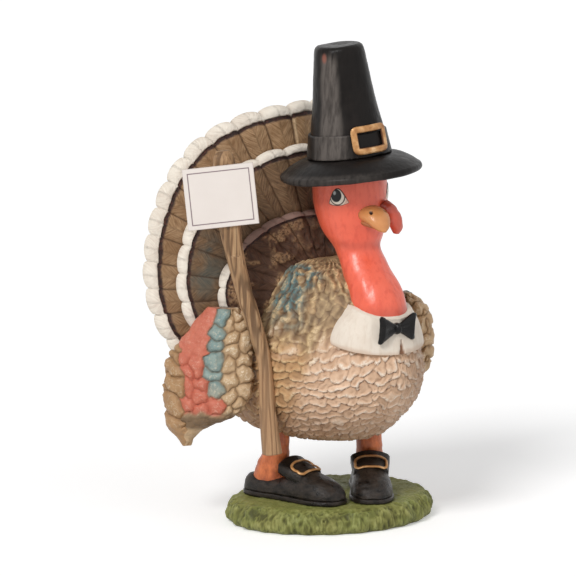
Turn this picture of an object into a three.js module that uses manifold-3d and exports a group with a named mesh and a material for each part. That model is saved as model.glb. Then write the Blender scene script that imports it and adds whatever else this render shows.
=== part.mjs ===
// A painted turkey figure in holiday dress: tall buckled hat, bow tie and buckled shoes, holding
// a picket sign. It is an assembly of cast pieces, dowelled together and glued on a grass base.
// Millimetres, +Z up. The origin is the centre of the base's underside, and the bird faces -Y.
// Its right side is -X. A share table holds rows of [position share, value share].
import * as THREE from "three";
import { mergeVertices } from "three/addons/utils/BufferGeometryUtils.js";
import Module from "manifold-3d";

const wasm = await Module();
wasm.setup();

// Fits that all pieces share
const seatGap = 0.3; // glue gap between two seated pieces
const cutOverrun = 4; // how far a cutting body runs past the face that it cuts

// Grass base: an oval mound with a flat underside and a level top
const base = { halfWidth: 67, halfDepth: 53, height: 14.8, wobble: 0.04, phase: 240, tuft: 0.012, tufts: 24 };
const baseShares = [
  [0, 0.95],
  [0.16, 0.995],
  [0.5, 1],
  [0.85, 0.955],
  [1, 0.88],
];

// Legs, with the steel rods that tie the body to the base
const leg = { rightSpread: 31, leftSpread: 26.5, rightSetback: 13, leftSetback: -5 };
const shin = { radius: 7.6, bottom: 20, top: 64 };
const ankle = { halfWidth: 9, halfLength: 11.6, shift: 4 };
const ankleShares = [
  [0, 1],
  [0.16, 1],
  [0.3, 0.72],
  [0.5, 0.12],
  [0.66, 0],
  [1, 0],
];
const rod = { radius: 1.6, bottom: 4, top: 92 };

// Shoes: shares run from the heel to the toe
const shoe = { toeReach: 50, heelReach: 21, halfWidth: 12.6, instep: 18.6, rightTurn: 14, leftTurn: -36 };
const shoeWidthShares = [
  [0, 0.42],
  [0.05, 0.72],
  [0.18, 0.9],
  [0.4, 0.87],
  [0.6, 0.95],
  [0.78, 1],
  [0.9, 0.84],
  [0.97, 0.54],
  [1, 0.25],
];
const shoeHeightShares = [
  [0, 0.5],
  [0.05, 0.68],
  [0.2, 0.66],
  [0.4, 0.68],
  [0.55, 0.9],
  [0.64, 1],
  [0.75, 0.88],
  [0.88, 0.72],
  [0.96, 0.5],
  [1, 0.26],
];
const sole = { thickness: 3.2, welt: 0.9 };
const tongue = { halfWidth: 12, footY: -26, headY: -10.5, footRise: 1.4, headZ: 26.5, arch: 3 };
const shoeBuckle = { halfWidth: 10.4, nearY: -16.5, farY: -28, bar: 1.8, rise: 1.3 };

// Body: a pear-shaped trunk, long at the belly and rising to the shoulders in front
const body = { halfWidth: 50, halfLength: 75, bottom: 50, top: 160, shift: 24, featherRise: 1.2 };
const bodyWidthShares = [
  [0, 0.3],
  [0.035, 0.62],
  [0.14, 0.86],
  [0.25, 0.96],
  [0.39, 1],
  [0.52, 0.99],
  [0.65, 0.9],
  [0.78, 0.78],
  [0.89, 0.62],
  [0.97, 0.44],
  [1, 0.2],
];
const bodyLengthShares = [
  [0, 0.36],
  [0.035, 0.68],
  [0.14, 0.88],
  [0.25, 0.97],
  [0.39, 1],
  [0.52, 0.92],
  [0.65, 0.79],
  [0.78, 0.68],
  [0.89, 0.55],
  [0.97, 0.4],
  [1, 0.2],
];
const bodyShiftShares = [
  [0, 0.85],
  [0.14, 0.68],
  [0.25, 0.48],
  [0.39, 0.25],
  [0.52, -0.04],
  [0.65, -0.25],
  [0.78, -0.35],
  [0.89, -0.2],
  [1, 0.1],
];
const chestNarrowShares = [
  [0, 0],
  [0.4, 0.04],
  [0.6, 0.26],
  [0.8, 0.32],
  [1, 0.2],
];

// Neck and head, one casting, and the dowel that holds it to the body
const neck = { chestShare: 0.5636, setback: 19.8 };
const head = { radius: 22.6, reach: 30, rise: 66, turn: -4 };
const dowel = { radius: 2.5, below: 24, above: 22, backset: 3 };
const spineShares = [
  [0, 0],
  [0.175, 0.05],
  [0.263, 0.11],
  [0.345, 0.27],
  [0.427, 0.51],
  [0.497, 0.72],
  [0.59, 0.89],
  [0.68, 0.94],
  [0.77, 0.985],
  [1, 1.02],
];
const neckRadiusShares = [
  [0, 0.76],
  [0.175, 0.755],
  [0.263, 0.73],
  [0.345, 0.69],
  [0.427, 0.64],
  [0.497, 0.615],
  [0.53, 0.66],
  [0.59, 0.81],
  [0.68, 0.95],
  [0.77, 1],
  [0.89, 0.98],
  [0.96, 0.88],
  [1, 0.74],
];
const beak = { rootY: -16, tipY: -37.5, halfWidth: 8.8, halfHeight: 5.5, below: 32, drop: 9.5 };
const beakShares = [
  [0, 1],
  [0.45, 0.95],
  [0.7, 0.78],
  [0.88, 0.5],
  [1, 0.18],
];
const lowerBeak = { tipY: -31, halfWidth: 7.2, halfHeight: 3.3, below: 37, drop: 3 };
const snood = { radius: 4.6, rootBelow: 28.5, tipBelow: 46, rootX: 10, tipX: 16.5, reach: 25 };
const eye = { halfWidth: 7.7, halfHeight: 6.8, halfDepth: 4, angle: 51.4, below: 21.9, sunk: 2.5 };

// Collar and bow tie
const collar = { rise: 4.5, height: 21.5, setback: 1.5, topRadius: 19.5, dip: 5 };
const collarFoot = { halfWidth: 31.5, halfLength: 28, setback: 7 };
const notch = { halfWidth: 2.4, height: 8 };
const bow = { halfSpan: 14, halfHeight: 8.7, halfDepth: 2.8, x: -3.2, reach: 20, rise: 15.5, tilt: 6 };
const knotSize = { halfWidth: 2.8, halfDepth: 3.6, halfHeight: 3.6 };
const bowShares = [
  [0, 0.3],
  [0.25, 0.42],
  [0.8, 0.95],
  [1, 1],
];

// Hat
const hat = { x: -0.4, rise: 0.3, back: 5, lean: 3.5 };
const crown = { radius: 24.3, height: 67.2 };
const crownShares = [
  [0, 1],
  [0.24, 0.905],
  [0.39, 0.83],
  [0.54, 0.765],
  [0.7, 0.712],
  [0.85, 0.66],
  [0.93, 0.63],
  [0.98, 0.59],
  [1, 0.52],
];
const brim = { radius: 43, depth: 12.6, hole: 14 };
const brimShares = [
  [0.6, 0.024],
  [0.72, 0.12],
  [0.85, 0.34],
  [0.955, 0.6],
  [0.99, 0.7],
  [1, 0.82],
  [0.985, 0.94],
  [0.94, 0.97],
  [0.8, 0.74],
  [0.6, 0.5],
];
const band = { height: 14.6, thickness: 1.2 };
const hatBuckle = { width: 25, height: 17.2, bar: 4.2, thickness: 2.2, rise: 2.4 };

// Tail fan: three scalloped tiers on one surface that sweeps back at both sides and leans back
const fan = { drop: 22, frontY: 13, sweep: 36, nose: 20, lean: 7, tierGap: 0.4, scallop: 0.03 };
const fanInner = { share: 0.22, rows: 2, perFeather: 2 };
const fanPeg = { radius: 1.6, spacing: 11, below: 20, above: 30, backset: 4 };
const outerTier = { radius: 112, feathers: 25, below: 26, thickness: 6, crown: 1.4 };
const middleTier = { radius: 91, feathers: 20, below: 26, thickness: 4.4, crown: 1.2 };
const innerTier = { radius: 69, feathers: 16, below: 24, thickness: 4.4, crown: 1.2 };
const outerShares = [
  [0, 0.85],
  [0.1, 0.9],
  [0.24, 0.93],
  [0.45, 0.975],
  [0.6, 1.01],
  [0.75, 1.035],
  [1, 1.03],
];
const middleShares = [
  [0, 0.9],
  [0.24, 0.98],
  [0.6, 1],
  [1, 1],
];
const innerShares = [
  [0, 0.92],
  [0.22, 0.99],
  [0.5, 0.88],
  [0.8, 0.78],
  [1, 0.74],
];
const tiers = [
  { name: "tail_fan_outer", size: outerTier, reachShares: outerShares },
  { name: "tail_fan_middle", size: middleTier, reachShares: middleShares },
  { name: "tail_fan_inner", size: innerTier, reachShares: innerShares },
];

// Wings
const wingShape = {
  frontShares: [
    [0, 0.66],
    [0.06, 0.62],
    [0.14, 0.48],
    [0.25, 0.13],
    [0.37, 0],
    [0.65, -0.02],
    [0.83, 0],
    [0.93, 0.05],
    [1, 0.16],
  ],
  rearShares: [
    [0, 0.73],
    [0.06, 0.8],
    [0.14, 0.9],
    [0.25, 0.935],
    [0.37, 0.95],
    [0.51, 0.925],
    [0.65, 0.87],
    [0.83, 0.66],
    [0.93, 0.56],
    [1, 0.46],
  ],
  thicknessShares: [
    [0, 0.2],
    [0.06, 0.45],
    [0.14, 0.75],
    [0.3, 0.98],
    [0.5, 1],
    [0.75, 0.95],
    [0.9, 0.7],
    [1, 0.3],
  ],
};
const wing = { halfThickness: 9, puffRise: 0.9 };
const rightWing = { out: 5, y: 8, bottom: 47.5, top: 133, length: 58, flare: 37, tuck: 2 };
const leftWing = { out: 7, y: -24, bottom: 68, top: 134, length: 56, flare: 4, tuck: 12 };
const wingPeg = { radius: 1.6, rightY: 15, rightZ: 98, leftY: -2, leftZ: 108 };
const wingPegReach = { inside: 13, outside: 5 };

// Picket sign
const stick = { bottom: 46, top: 231, footY: -5, headY: 17, radius: 6.9, footInside: 1.2, headOutside: 18.5 };
const stickXShares = [
  [0, 0],
  [0.16, 0.1],
  [0.3, 0.19],
  [0.4, 0.37],
  [0.47, 0.51],
  [0.61, 0.77],
  [0.74, 0.93],
  [1, 1],
];
const stickYShares = [
  [0, 0],
  [0.16, 0.06],
  [0.3, 0.1],
  [0.4, 0.24],
  [0.47, 0.355],
  [0.61, 0.595],
  [0.74, 0.77],
  [1, 1],
];
const stickRadiusShares = [
  [0, 0.9],
  [0.16, 0.72],
  [0.3, 0.66],
  [0.5, 0.74],
  [0.64, 0.78],
  [0.76, 0.97],
  [0.86, 1],
  [0.97, 0.95],
  [1, 0.66],
];
const card = { width: 43, height: 37.5, thickness: 1.6, turn: -36, roll: -6, z: 205, shift: -4 };

// Facets
const roundSides = 36;
const hatSides = 28;
const rodSides = 10;

const deg = THREE.MathUtils.degToRad;
const lerp = THREE.MathUtils.lerp;
const vec = (x, y, z) => new THREE.Vector3(x, y, z);
const countTo = (steps) => Array.from({ length: steps + 1 }, (_, step) => step / steps);

// Reads a share table smoothly between its rows.
function tableAt(table, position) {
  const last = table.length - 1;
  let row = 0;
  while (row < last - 1 && position > table[row + 1][0]) row += 1;
  const [from, to] = [table[row], table[row + 1]];
  const span = to[0] - from[0];
  const along = THREE.MathUtils.clamp((position - from[0]) / span, 0, 1);
  const before = table[Math.max(row - 1, 0)];
  const after = table[Math.min(row + 2, last)];
  const slopeIn = ((to[1] - before[1]) / (to[0] - before[0])) * span;
  const slopeOut = ((after[1] - from[1]) / (after[0] - from[0])) * span;
  const squared = along * along;
  const cubed = squared * along;
  const start = (2 * cubed - 3 * squared + 1) * from[1] + (cubed - 2 * squared + along) * slopeIn;
  return start + (3 * squared - 2 * cubed) * to[1] + (cubed - squared) * slopeOut;
}

// Places that follow from the sizes
const chestShift = body.shift * tableAt(bodyShiftShares, neck.chestShare);
const chestFront = chestShift - body.halfLength * tableAt(bodyLengthShares, neck.chestShare);
const neckY = chestFront + neck.setback;
const neckZ = lerp(body.bottom, body.top, neck.chestShare);
const headY = neckY + head.reach;
const headTop = body.top + head.rise;
const collarFootY = neckY + collarFoot.setback;
const fanRootZ = body.top - fan.drop;

// Makes a manifold solid of points and triangles, turned so that its faces point out.
function solidOf(points, faces) {
  const sixVolumes = faces.reduce((sum, [a, b, c]) => {
    const product = vec(0, 0, 0).crossVectors(points[b], points[c]);
    return sum + points[a].dot(product);
  }, 0);
  const outward = sixVolumes < 0 ? ([a, b, c]) => [a, c, b] : (face) => face;
  return new wasm.Manifold(
    new wasm.Mesh({
      numProp: 3,
      vertProperties: new Float32Array(points.flatMap((p) => [p.x, p.y, p.z])),
      triVerts: new Uint32Array(faces.flatMap(outward)),
    }),
  );
}

// Makes a manifold solid of a closed three.js geometry.
function solidFrom(geometry) {
  const bare = geometry.clone();
  bare.deleteAttribute("normal");
  bare.deleteAttribute("uv");
  const merged = mergeVertices(bare, 1e-4);
  return new wasm.Manifold(
    new wasm.Mesh({
      numProp: 3,
      vertProperties: merged.attributes.position.array,
      triVerts: new Uint32Array(merged.index.array),
    }),
  );
}

function geometryOf(solid) {
  const mesh = solid.getMesh();
  const geometry = new THREE.BufferGeometry();
  geometry.setAttribute("position", new THREE.BufferAttribute(mesh.vertProperties, 3));
  geometry.setIndex(new THREE.BufferAttribute(mesh.triVerts, 1));
  geometry.computeVertexNormals();
  return geometry;
}

// Stacks rings of equal point counts into one closed body with a fan of faces over each end.
function loft(rings) {
  const count = rings[0].length;
  const points = rings.flat();
  const faces = [];
  for (let ring = 0; ring + 1 < rings.length; ring += 1) {
    for (let side = 0; side < count; side += 1) {
      const next = (side + 1) % count;
      const [a, b] = [ring * count + side, ring * count + next];
      faces.push([a, b, b + count], [a, b + count, a + count]);
    }
  }
  const ends = [
    [0, true],
    [rings.length - 1, false],
  ];
  for (const [ring, flip] of ends) {
    const middle = points.length;
    const sum = rings[ring].reduce((total, p) => total.add(p), vec(0, 0, 0));
    points.push(sum.divideScalar(count));
    for (let side = 0; side < count; side += 1) {
      const [a, b] = [ring * count + side, ring * count + ((side + 1) % count)];
      faces.push(flip ? [b, a, middle] : [a, b, middle]);
    }
  }
  return solidOf(points, faces);
}

// Closes a front and a back grid of points into one slab.
function slab(front, back, columns, rows) {
  const width = rows + 1;
  const size = (columns + 1) * width;
  const points = [front, back].flatMap((grid) =>
    countTo(columns).flatMap((u) => countTo(rows).map((v) => grid(u, v))),
  );
  const at = (layer, column, row) => layer * size + column * width + row;
  const faces = [];
  const wall = (c1, r1, c2, r2) => {
    const [a, b] = [at(0, c1, r1), at(0, c2, r2)];
    faces.push([a, b, b + size], [a, b + size, a + size]);
  };
  for (let column = 0; column < columns; column += 1) {
    for (let row = 0; row < rows; row += 1) {
      const [a, b] = [at(0, column, row), at(0, column + 1, row)];
      faces.push([a, b + 1, b], [a, a + 1, b + 1]);
      faces.push([a + size, b + size, b + 1 + size], [a + size, b + 1 + size, a + 1 + size]);
    }
    wall(column, 0, column + 1, 0);
    wall(column + 1, rows, column, rows);
  }
  for (let row = 0; row < rows; row += 1) {
    wall(0, row + 1, 0, row);
    wall(columns, row, columns, row + 1);
  }
  return solidOf(points, faces);
}

// A closed ring of points: each is centre + cos * across + sin * along, times its reach.
function ringAround(centre, across, along, sides = roundSides, reach = () => 1) {
  return Array.from({ length: sides }, (_, side) => {
    const angle = (side / sides) * 2 * Math.PI;
    const size = reach(angle);
    const point = centre.clone().addScaledVector(across, size * Math.cos(angle));
    return point.addScaledVector(along, size * Math.sin(angle));
  });
}

// A level oval ring.
function levelRing(y, z, halfWidth, halfLength, sides = roundSides, reach = () => 1) {
  return ringAround(vec(0, y, z), vec(halfWidth, 0, 0), vec(0, halfLength, 0), sides, reach);
}

// A body swept along a curve, with an oval section read at each step.
function sweep(curve, steps, sides, halfWidthAt, flatShare = 1) {
  const rings = countTo(steps).map((share) => {
    const tangent = curve.getTangent(share);
    const along = vec(0, 0, 0).crossVectors(tangent, vec(1, 0, 0)).normalize();
    const across = vec(0, 0, 0).crossVectors(along, tangent).normalize();
    const halfWidth = halfWidthAt(share);
    across.multiplyScalar(halfWidth);
    along.multiplyScalar(halfWidth * flatShare);
    return ringAround(curve.getPoint(share), across, along, sides);
  });
  return loft(rings);
}

// An upright cylinder from one height to another.
function upright(radius, bottom, top, x = 0, y = 0) {
  const geometry = new THREE.CylinderGeometry(radius, radius, top - bottom, rodSides);
  geometry.rotateX(Math.PI / 2);
  geometry.translate(x, y, (top + bottom) / 2);
  return solidFrom(geometry);
}

function box(width, depth, height, x = 0, y = 0, z = 0) {
  const geometry = new THREE.BoxGeometry(width, depth, height);
  geometry.translate(x, y, z);
  return solidFrom(geometry);
}

// Frames: nested groups that carry the pieces
const figure = new THREE.Group();
function frameAt(parent, x, y, z, turns = {}) {
  const frame = new THREE.Group();
  frame.position.set(x, y, z);
  frame.rotation.set(deg(turns.x ?? 0), deg(turns.y ?? 0), deg(turns.z ?? 0), "ZYX");
  parent.add(frame);
  figure.updateMatrixWorld(true);
  return frame;
}
const toWorld = (solid, frame) => solid.transform(frame.matrixWorld.elements);
const toLocal = (solid, frame) => solid.transform(frame.matrixWorld.clone().invert().elements);
const cut = (solid, ...tools) => tools.reduce((left, tool) => left.subtract(tool), solid);

const paint = {
  grass: [0x6f7f35, 0.8, 0],
  shoeBlack: [0x1d1b1b, 0.45, 0],
  gold: [0xb58a4a, 0.4, 0.5],
  legOrange: [0xc8643a, 0.6, 0],
  feather: [0x9a7a57, 0.8, 0],
  skin: [0xd9553f, 0.5, 0],
  beak: [0xd8944f, 0.5, 0],
  white: [0xe9e2d6, 0.7, 0],
  hat: [0x2b2828, 0.5, 0],
  eye: [0xf0e8da, 0.3, 0],
  fan: [0x8d6f4c, 0.85, 0],
  wood: [0x9c7650, 0.8, 0],
  paper: [0xf3ebe4, 0.9, 0],
  steel: [0x8c8f92, 0.35, 1],
};

// Places a solid, built in world space, as one named node of a frame.
function place(name, solid, paintName, frame = figure) {
  const [color, roughness, metalness] = paint[paintName];
  const material = new THREE.MeshStandardMaterial({ color, roughness, metalness });
  const mesh = new THREE.Mesh(geometryOf(toLocal(solid, frame)), material);
  mesh.name = name;
  frame.add(mesh);
}

// Builders: each takes how far its piece is grown, so that a neighbour can be cut to fit it.
// Those of a shoe, the head and the hat build in their own frame.

function baseBody() {
  const reach = (angle) => {
    const wave = Math.sin(2 * angle + deg(base.phase)) + Math.sin(3 * angle) / 3;
    return 1 + (base.wobble * wave) / 2 + base.tuft * Math.cos(base.tufts * angle);
  };
  const rings = baseShares.map(([height, share]) => {
    const z = height * base.height;
    return levelRing(0, z, base.halfWidth * share, base.halfDepth * share, base.tufts * 2, reach);
  });
  return loft(rings);
}

function legBody(grow) {
  const height = shin.top - shin.bottom;
  const rings = ankleShares.map(([share, swell]) => {
    const halfWidth = lerp(shin.radius, ankle.halfWidth, swell) + grow;
    const halfLength = lerp(shin.radius, ankle.halfLength, swell) + grow;
    const end = share === 0 ? -grow : share === 1 ? grow : 0;
    const z = shin.bottom - base.height + share * height + end;
    return levelRing(ankle.shift * swell, z, halfWidth, halfLength, 20);
  });
  return loft(rings);
}

function rodHole(grow) {
  return upright(rod.radius + grow, rod.bottom - base.height - grow, rod.top - base.height + grow);
}

function shoeSole() {
  const shares = countTo(18);
  const edge = (side) => (share) => {
    const eased = (1 - Math.cos(share * Math.PI)) / 2;
    const y = lerp(shoe.heelReach, -shoe.toeReach, eased);
    const halfWidth = shoe.halfWidth * tableAt(shoeWidthShares, eased) + sole.welt;
    return vec(side * halfWidth, y, 0);
  };
  const outline = [...shares.map(edge(1)), ...shares.reverse().map(edge(-1))];
  const levels = [seatGap, sole.thickness];
  return loft(levels.map((z) => outline.map((point) => point.clone().setZ(z))));
}

// The shoe's upper, a loft from heel to toe with a flat foot and a rounded back.
function shoeUpper(grow) {
  const foot = sole.thickness + seatGap - grow;
  const rings = countTo(14).map((share) => {
    const eased = (1 - Math.cos(share * Math.PI)) / 2;
    const y = lerp(shoe.heelReach + grow, -shoe.toeReach - grow, eased);
    const halfWidth = shoe.halfWidth * tableAt(shoeWidthShares, eased) + grow;
    const top = shoe.instep * tableAt(shoeHeightShares, eased) + grow;
    return Array.from({ length: 16 }, (_, side) => {
      const angle = (side / 16) * 2 * Math.PI;
      const [cos, sin] = [Math.cos(angle), Math.sin(angle)];
      const x = halfWidth * Math.sign(cos) * Math.abs(cos) ** 0.7;
      const rise = Math.max(sin, 0) ** 0.8;
      return vec(x, y, lerp(foot, top, rise));
    });
  });
  return loft(rings);
}

// The tongue, a flap that rises from the instep to stand in front of the ankle.
function shoeTongue(grow) {
  const rings = countTo(5).map((share) => {
    const y = lerp(tongue.footY - grow, tongue.headY + grow, share);
    const rise = share ** 1.4;
    const top = lerp(shoe.instep + tongue.footRise, tongue.headZ, rise) + grow;
    const halfWidth = tongue.halfWidth * lerp(0.86, 1, share) + grow;
    const foot = sole.thickness * 2;
    const under = [vec(halfWidth, y, foot), vec(-halfWidth, y, foot)];
    const arch = countTo(8).map((across) => {
      const x = lerp(-halfWidth, halfWidth, across);
      return vec(x, y, top - tongue.arch * (x / halfWidth) ** 2);
    });
    return [...under, ...arch];
  });
  return loft(rings);
}

// A flat frame seen from above or from the front, as a solid wide enough to cut out of a shell.
function frameBar(width, height, bar, depth) {
  const outer = box(width, height, depth);
  return outer.subtract(box(width - 2 * bar, height - 2 * bar, depth + cutOverrun));
}

function shoeBuckleBody(grip) {
  const width = 2 * shoeBuckle.halfWidth;
  const length = shoeBuckle.nearY - shoeBuckle.farY;
  const ring = frameBar(width, length, shoeBuckle.bar, shoe.instep);
  const middle = (shoeBuckle.nearY + shoeBuckle.farY) / 2;
  const placed = ring.translate([0, middle, shoe.instep]);
  const shell = shoeUpper(shoeBuckle.rise + seatGap).add(shoeTongue(shoeBuckle.rise + seatGap));
  return placed.intersect(shell).subtract(grip);
}

// Every other point of a ring, and of the next the ones between, is the tip of a feather.
function liftedTip(point, middle, count, rise) {
  const outward = point.clone().sub(middle).normalize();
  return point.addScaledVector(outward, count % 2 === 0 ? rise / 2 : -rise / 2);
}

function bodyBody(grow) {
  const height = body.top - body.bottom;
  const rings = countTo(15).map((share, row) => {
    const eased = (1 - Math.cos(share * Math.PI)) / 2;
    const end = share === 0 ? -grow : share === 1 ? grow : 0;
    const z = body.bottom + eased * height + end;
    const halfWidth = body.halfWidth * tableAt(bodyWidthShares, eased) + grow;
    const halfLength = body.halfLength * tableAt(bodyLengthShares, eased) + grow;
    const y = body.shift * tableAt(bodyShiftShares, eased);
    const narrow = tableAt(chestNarrowShares, eased);
    const ring = levelRing(y, z, halfWidth, halfLength);
    const middle = vec(0, y, z);
    return ring.map((point, side) => {
      const forward = Math.max((y - point.y) / halfLength, 0);
      point.setX(point.x * (1 - narrow * forward));
      return liftedTip(point, middle, row + side, body.featherRise);
    });
  });
  return loft(rings);
}

function headBody(grow) {
  const height = headTop - neckZ;
  const rings = countTo(16).map((share) => {
    const end = share === 0 ? -grow : share === 1 ? grow : 0;
    const y = lerp(neckY, headY, tableAt(spineShares, share));
    const radius = head.radius * tableAt(neckRadiusShares, share) + grow;
    return levelRing(y, neckZ + share * height + end, radius, radius, 20);
  });
  return loft(rings);
}

// The upper beak hooks down at its tip, and the lower beak lies straight beneath it.
function beakBody(grow, piece, tipDrop) {
  const middleY = lerp(beak.rootY, piece.tipY, 0.6);
  const z = headTop - piece.below;
  const curve = new THREE.CatmullRomCurve3([
    vec(0, beak.rootY, z),
    vec(0, middleY, z - tipDrop * 0.22),
    vec(0, piece.tipY, z - tipDrop),
  ]);
  const halfWidthAt = (share) => piece.halfWidth * tableAt(beakShares, share) + grow;
  return sweep(curve, 7, 12, halfWidthAt, piece.halfHeight / piece.halfWidth);
}

function snoodBody() {
  const [rootZ, tipZ] = [headTop - snood.rootBelow, headTop - snood.tipBelow];
  const curve = new THREE.CatmullRomCurve3([
    vec(snood.rootX, -snood.reach * 0.8, rootZ),
    vec(lerp(snood.rootX, snood.tipX, 0.55), -snood.reach, lerp(rootZ, tipZ, 0.3)),
    vec(snood.tipX, -snood.reach, lerp(rootZ, tipZ, 0.7)),
    vec(snood.tipX, -snood.reach, tipZ),
  ]);
  const radiusAt = (share) => snood.radius * Math.sqrt(Math.max(1 - (share - 0.3) ** 2 * 1.7, 0.1));
  return sweep(curve, 8, 10, radiusAt);
}

function ellipsoid(halfWidth, halfDepth, halfHeight) {
  const geometry = new THREE.SphereGeometry(1, 14, 8);
  geometry.rotateX(Math.PI / 2);
  geometry.scale(halfWidth, halfDepth, halfHeight);
  return solidFrom(geometry);
}

function collarBody(grow) {
  const rings = countTo(4).map((share) => {
    const end = share === 0 ? -grow : share === 1 ? grow : 0;
    const z = neckZ + collar.rise + share * collar.height + end;
    const y = lerp(collarFootY, neckY + collar.setback, share);
    const halfWidth = lerp(collarFoot.halfWidth, collar.topRadius, share ** 1.7) + grow;
    const halfLength = lerp(collarFoot.halfLength, collar.topRadius, share) + grow;
    const ring = levelRing(y, z, halfWidth, halfLength);
    return ring.map((point) => point.setZ(z + (collar.dip * (point.y - y)) / halfLength));
  });
  return loft(rings);
}

// The notch where the two points of the collar part, below the bow.
function collarNotch() {
  const foot = neckZ + collar.rise - collar.dip;
  const bottom = foot - cutOverrun;
  const near = collarFootY;
  const far = collarFootY - 2 * collarFoot.halfLength;
  const top = foot + notch.height;
  const corners = [vec(-notch.halfWidth, 0, bottom), vec(notch.halfWidth, 0, bottom), vec(0, 0, top)];
  return loft([near, far].map((y) => corners.map((corner) => corner.clone().setY(y))));
}

function bowBody(grow) {
  const rings = countTo(10).map((share) => {
    const side = 2 * share - 1;
    const size = tableAt(bowShares, Math.abs(side));
    const halfHeight = bow.halfHeight * size + grow;
    const halfDepth = bow.halfDepth * Math.sqrt(size) + grow;
    const x = side * (bow.halfSpan + grow);
    return ringAround(vec(x, 0, 0), vec(0, halfDepth, 0), vec(0, 0, halfHeight), 12);
  });
  return loft(rings);
}

function crownBody(grow, from, to, overrun = 0) {
  const steps = Math.ceil((9 * (to - from)) / crown.height);
  const rings = countTo(steps).map((share) => {
    const z = lerp(from, to, share);
    const radius = crown.radius * tableAt(crownShares, z / crown.height) + grow;
    return levelRing(0, z + (share === 1 ? overrun : 0), radius, radius, hatSides);
  });
  return loft(rings);
}

// The brim droops from a level seat under the crown to a rolled edge.
function brimBody(grow) {
  const hole = brim.hole / brim.radius;
  const shares = [[hole, 0.44], ...brimShares.toReversed(), [hole, 0.024]];
  const middle = new THREE.Vector2(lerp(brim.hole, brim.radius, 0.5), -brim.depth * 0.4);
  const profile = shares.map(([reach, depth]) => {
    const point = new THREE.Vector2(reach * brim.radius, -depth * brim.depth);
    const outward = point.clone().sub(middle).normalize();
    return point.addScaledVector(outward, grow);
  });
  const geometry = new THREE.LatheGeometry([...profile, profile[0].clone()], hatSides);
  geometry.rotateX(Math.PI / 2);
  return solidFrom(geometry);
}

function hatBuckleBody() {
  const ring = frameBar(hatBuckle.width, hatBuckle.height, hatBuckle.bar, crown.radius);
  const standing = ring.rotate([90, 0, 0]);
  const rise = hatBuckle.rise + hatBuckle.height / 2;
  const placed = standing.translate([0, -crown.radius, rise]);
  const under = band.thickness + 2 * seatGap;
  const top = hatBuckle.height + 2 * hatBuckle.rise;
  const shell = crownBody(under + hatBuckle.thickness, 0, top).subtract(crownBody(under, 0, top, cutOverrun));
  return placed.intersect(shell);
}

// The swept surface of the fan: how far out and how far back a length along it reaches.
const fanSlope = Math.tan(deg(fan.sweep));
function fanAcross(length) {
  const steps = Math.ceil(Math.abs(length));
  let x = 0;
  for (let step = 0; step < steps; step += 1) {
    const slope = (fanSlope * x) / Math.hypot(x, fan.nose);
    x += Math.abs(length) / steps / Math.hypot(1, slope);
  }
  return Math.sign(length) * x;
}

// A point of the fan at a feather angle and reach, a given depth behind its front surface.
function fanPoint(angle, reach, depth) {
  const x = fanAcross(reach * Math.cos(angle));
  const rise = reach * Math.sin(angle);
  const back = fanSlope * (Math.hypot(x, fan.nose) - fan.nose);
  const y = fan.frontY + back + rise * Math.sin(deg(fan.lean)) + depth;
  return vec(x, y, fanRootZ + rise * Math.cos(deg(fan.lean)));
}

function tierFront(index) {
  return tiers.slice(0, index).reduce((front, { size }, lower) => {
    return front - size.crown - fan.tierGap - tiers[lower + 1].size.thickness;
  }, 0);
}

function tierBody(index) {
  const { size: tier, reachShares } = tiers[index];
  const front = tierFront(index);
  const columns = tier.feathers * fanInner.perFeather;
  const angleAt = (u) => deg(lerp(-tier.below, 180 + tier.below, u));
  const edgeAt = (u) => {
    const inFeather = 2 * ((u * tier.feathers) % 1) - 1;
    const round = u === 1 ? 0 : Math.sqrt(1 - inFeather * inFeather);
    const reach = tableAt(reachShares, 1 - Math.abs(2 * u - 1));
    return tier.radius * reach * (1 - fan.scallop * (1 - round));
  };
  const reachAt = (u, v) => edgeAt(u) * lerp(fanInner.share, 1, v);
  const crownAt = (u, v) => {
    const inFeather = 2 * ((u * tier.feathers) % 1) - 1;
    return u === 1 ? 0 : tier.crown * (1 - inFeather * inFeather) * Math.sqrt(v);
  };
  const frontPoint = (u, v) => fanPoint(angleAt(u), reachAt(u, v), front - crownAt(u, v));
  const backPoint = (u, v) => fanPoint(angleAt(u), reachAt(u, v), front + tier.thickness);
  return slab(frontPoint, backPoint, columns, fanInner.rows);
}

function wingBody(size, side, grow) {
  const along = vec(side * Math.sin(deg(size.flare)), Math.cos(deg(size.flare)), 0);
  const out = vec(side * Math.cos(deg(size.flare)), -Math.sin(deg(size.flare)), 0);
  const rings = countTo(12).map((share, row) => {
    const eased = (1 - Math.cos(share * Math.PI)) / 2;
    const end = share === 0 ? -grow : share === 1 ? grow : 0;
    const z = lerp(size.bottom, size.top, eased) + end;
    const front = size.length * tableAt(wingShape.frontShares, eased) - grow;
    const rear = size.length * tableAt(wingShape.rearShares, eased) + grow;
    const halfThickness = wing.halfThickness * tableAt(wingShape.thicknessShares, eased) + grow;
    const tuck = size.tuck * (1 - tableAt(wingShape.thicknessShares, eased));
    const centre = vec(side * (body.halfWidth + size.out), size.y, z);
    centre.addScaledVector(along, (front + rear) / 2);
    centre.addScaledVector(out, -tuck);
    const across = out.clone().multiplyScalar(halfThickness);
    const ring = ringAround(centre, across, along.clone().multiplyScalar((rear - front) / 2), 24);
    return ring.map((point, place) => liftedTip(point, centre, row + place, wing.puffRise));
  });
  return loft(rings);
}

function wingPegBody(side, y, z, grow) {
  const inner = body.halfWidth - wingPegReach.inside;
  const outer = body.halfWidth + wingPegReach.outside;
  const length = outer - inner + 2 * grow;
  const geometry = new THREE.CylinderGeometry(wingPeg.radius + grow, wingPeg.radius + grow, length, rodSides);
  geometry.rotateZ(Math.PI / 2);
  geometry.translate((side * (inner + outer)) / 2, y, z);
  return solidFrom(geometry);
}

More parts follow.
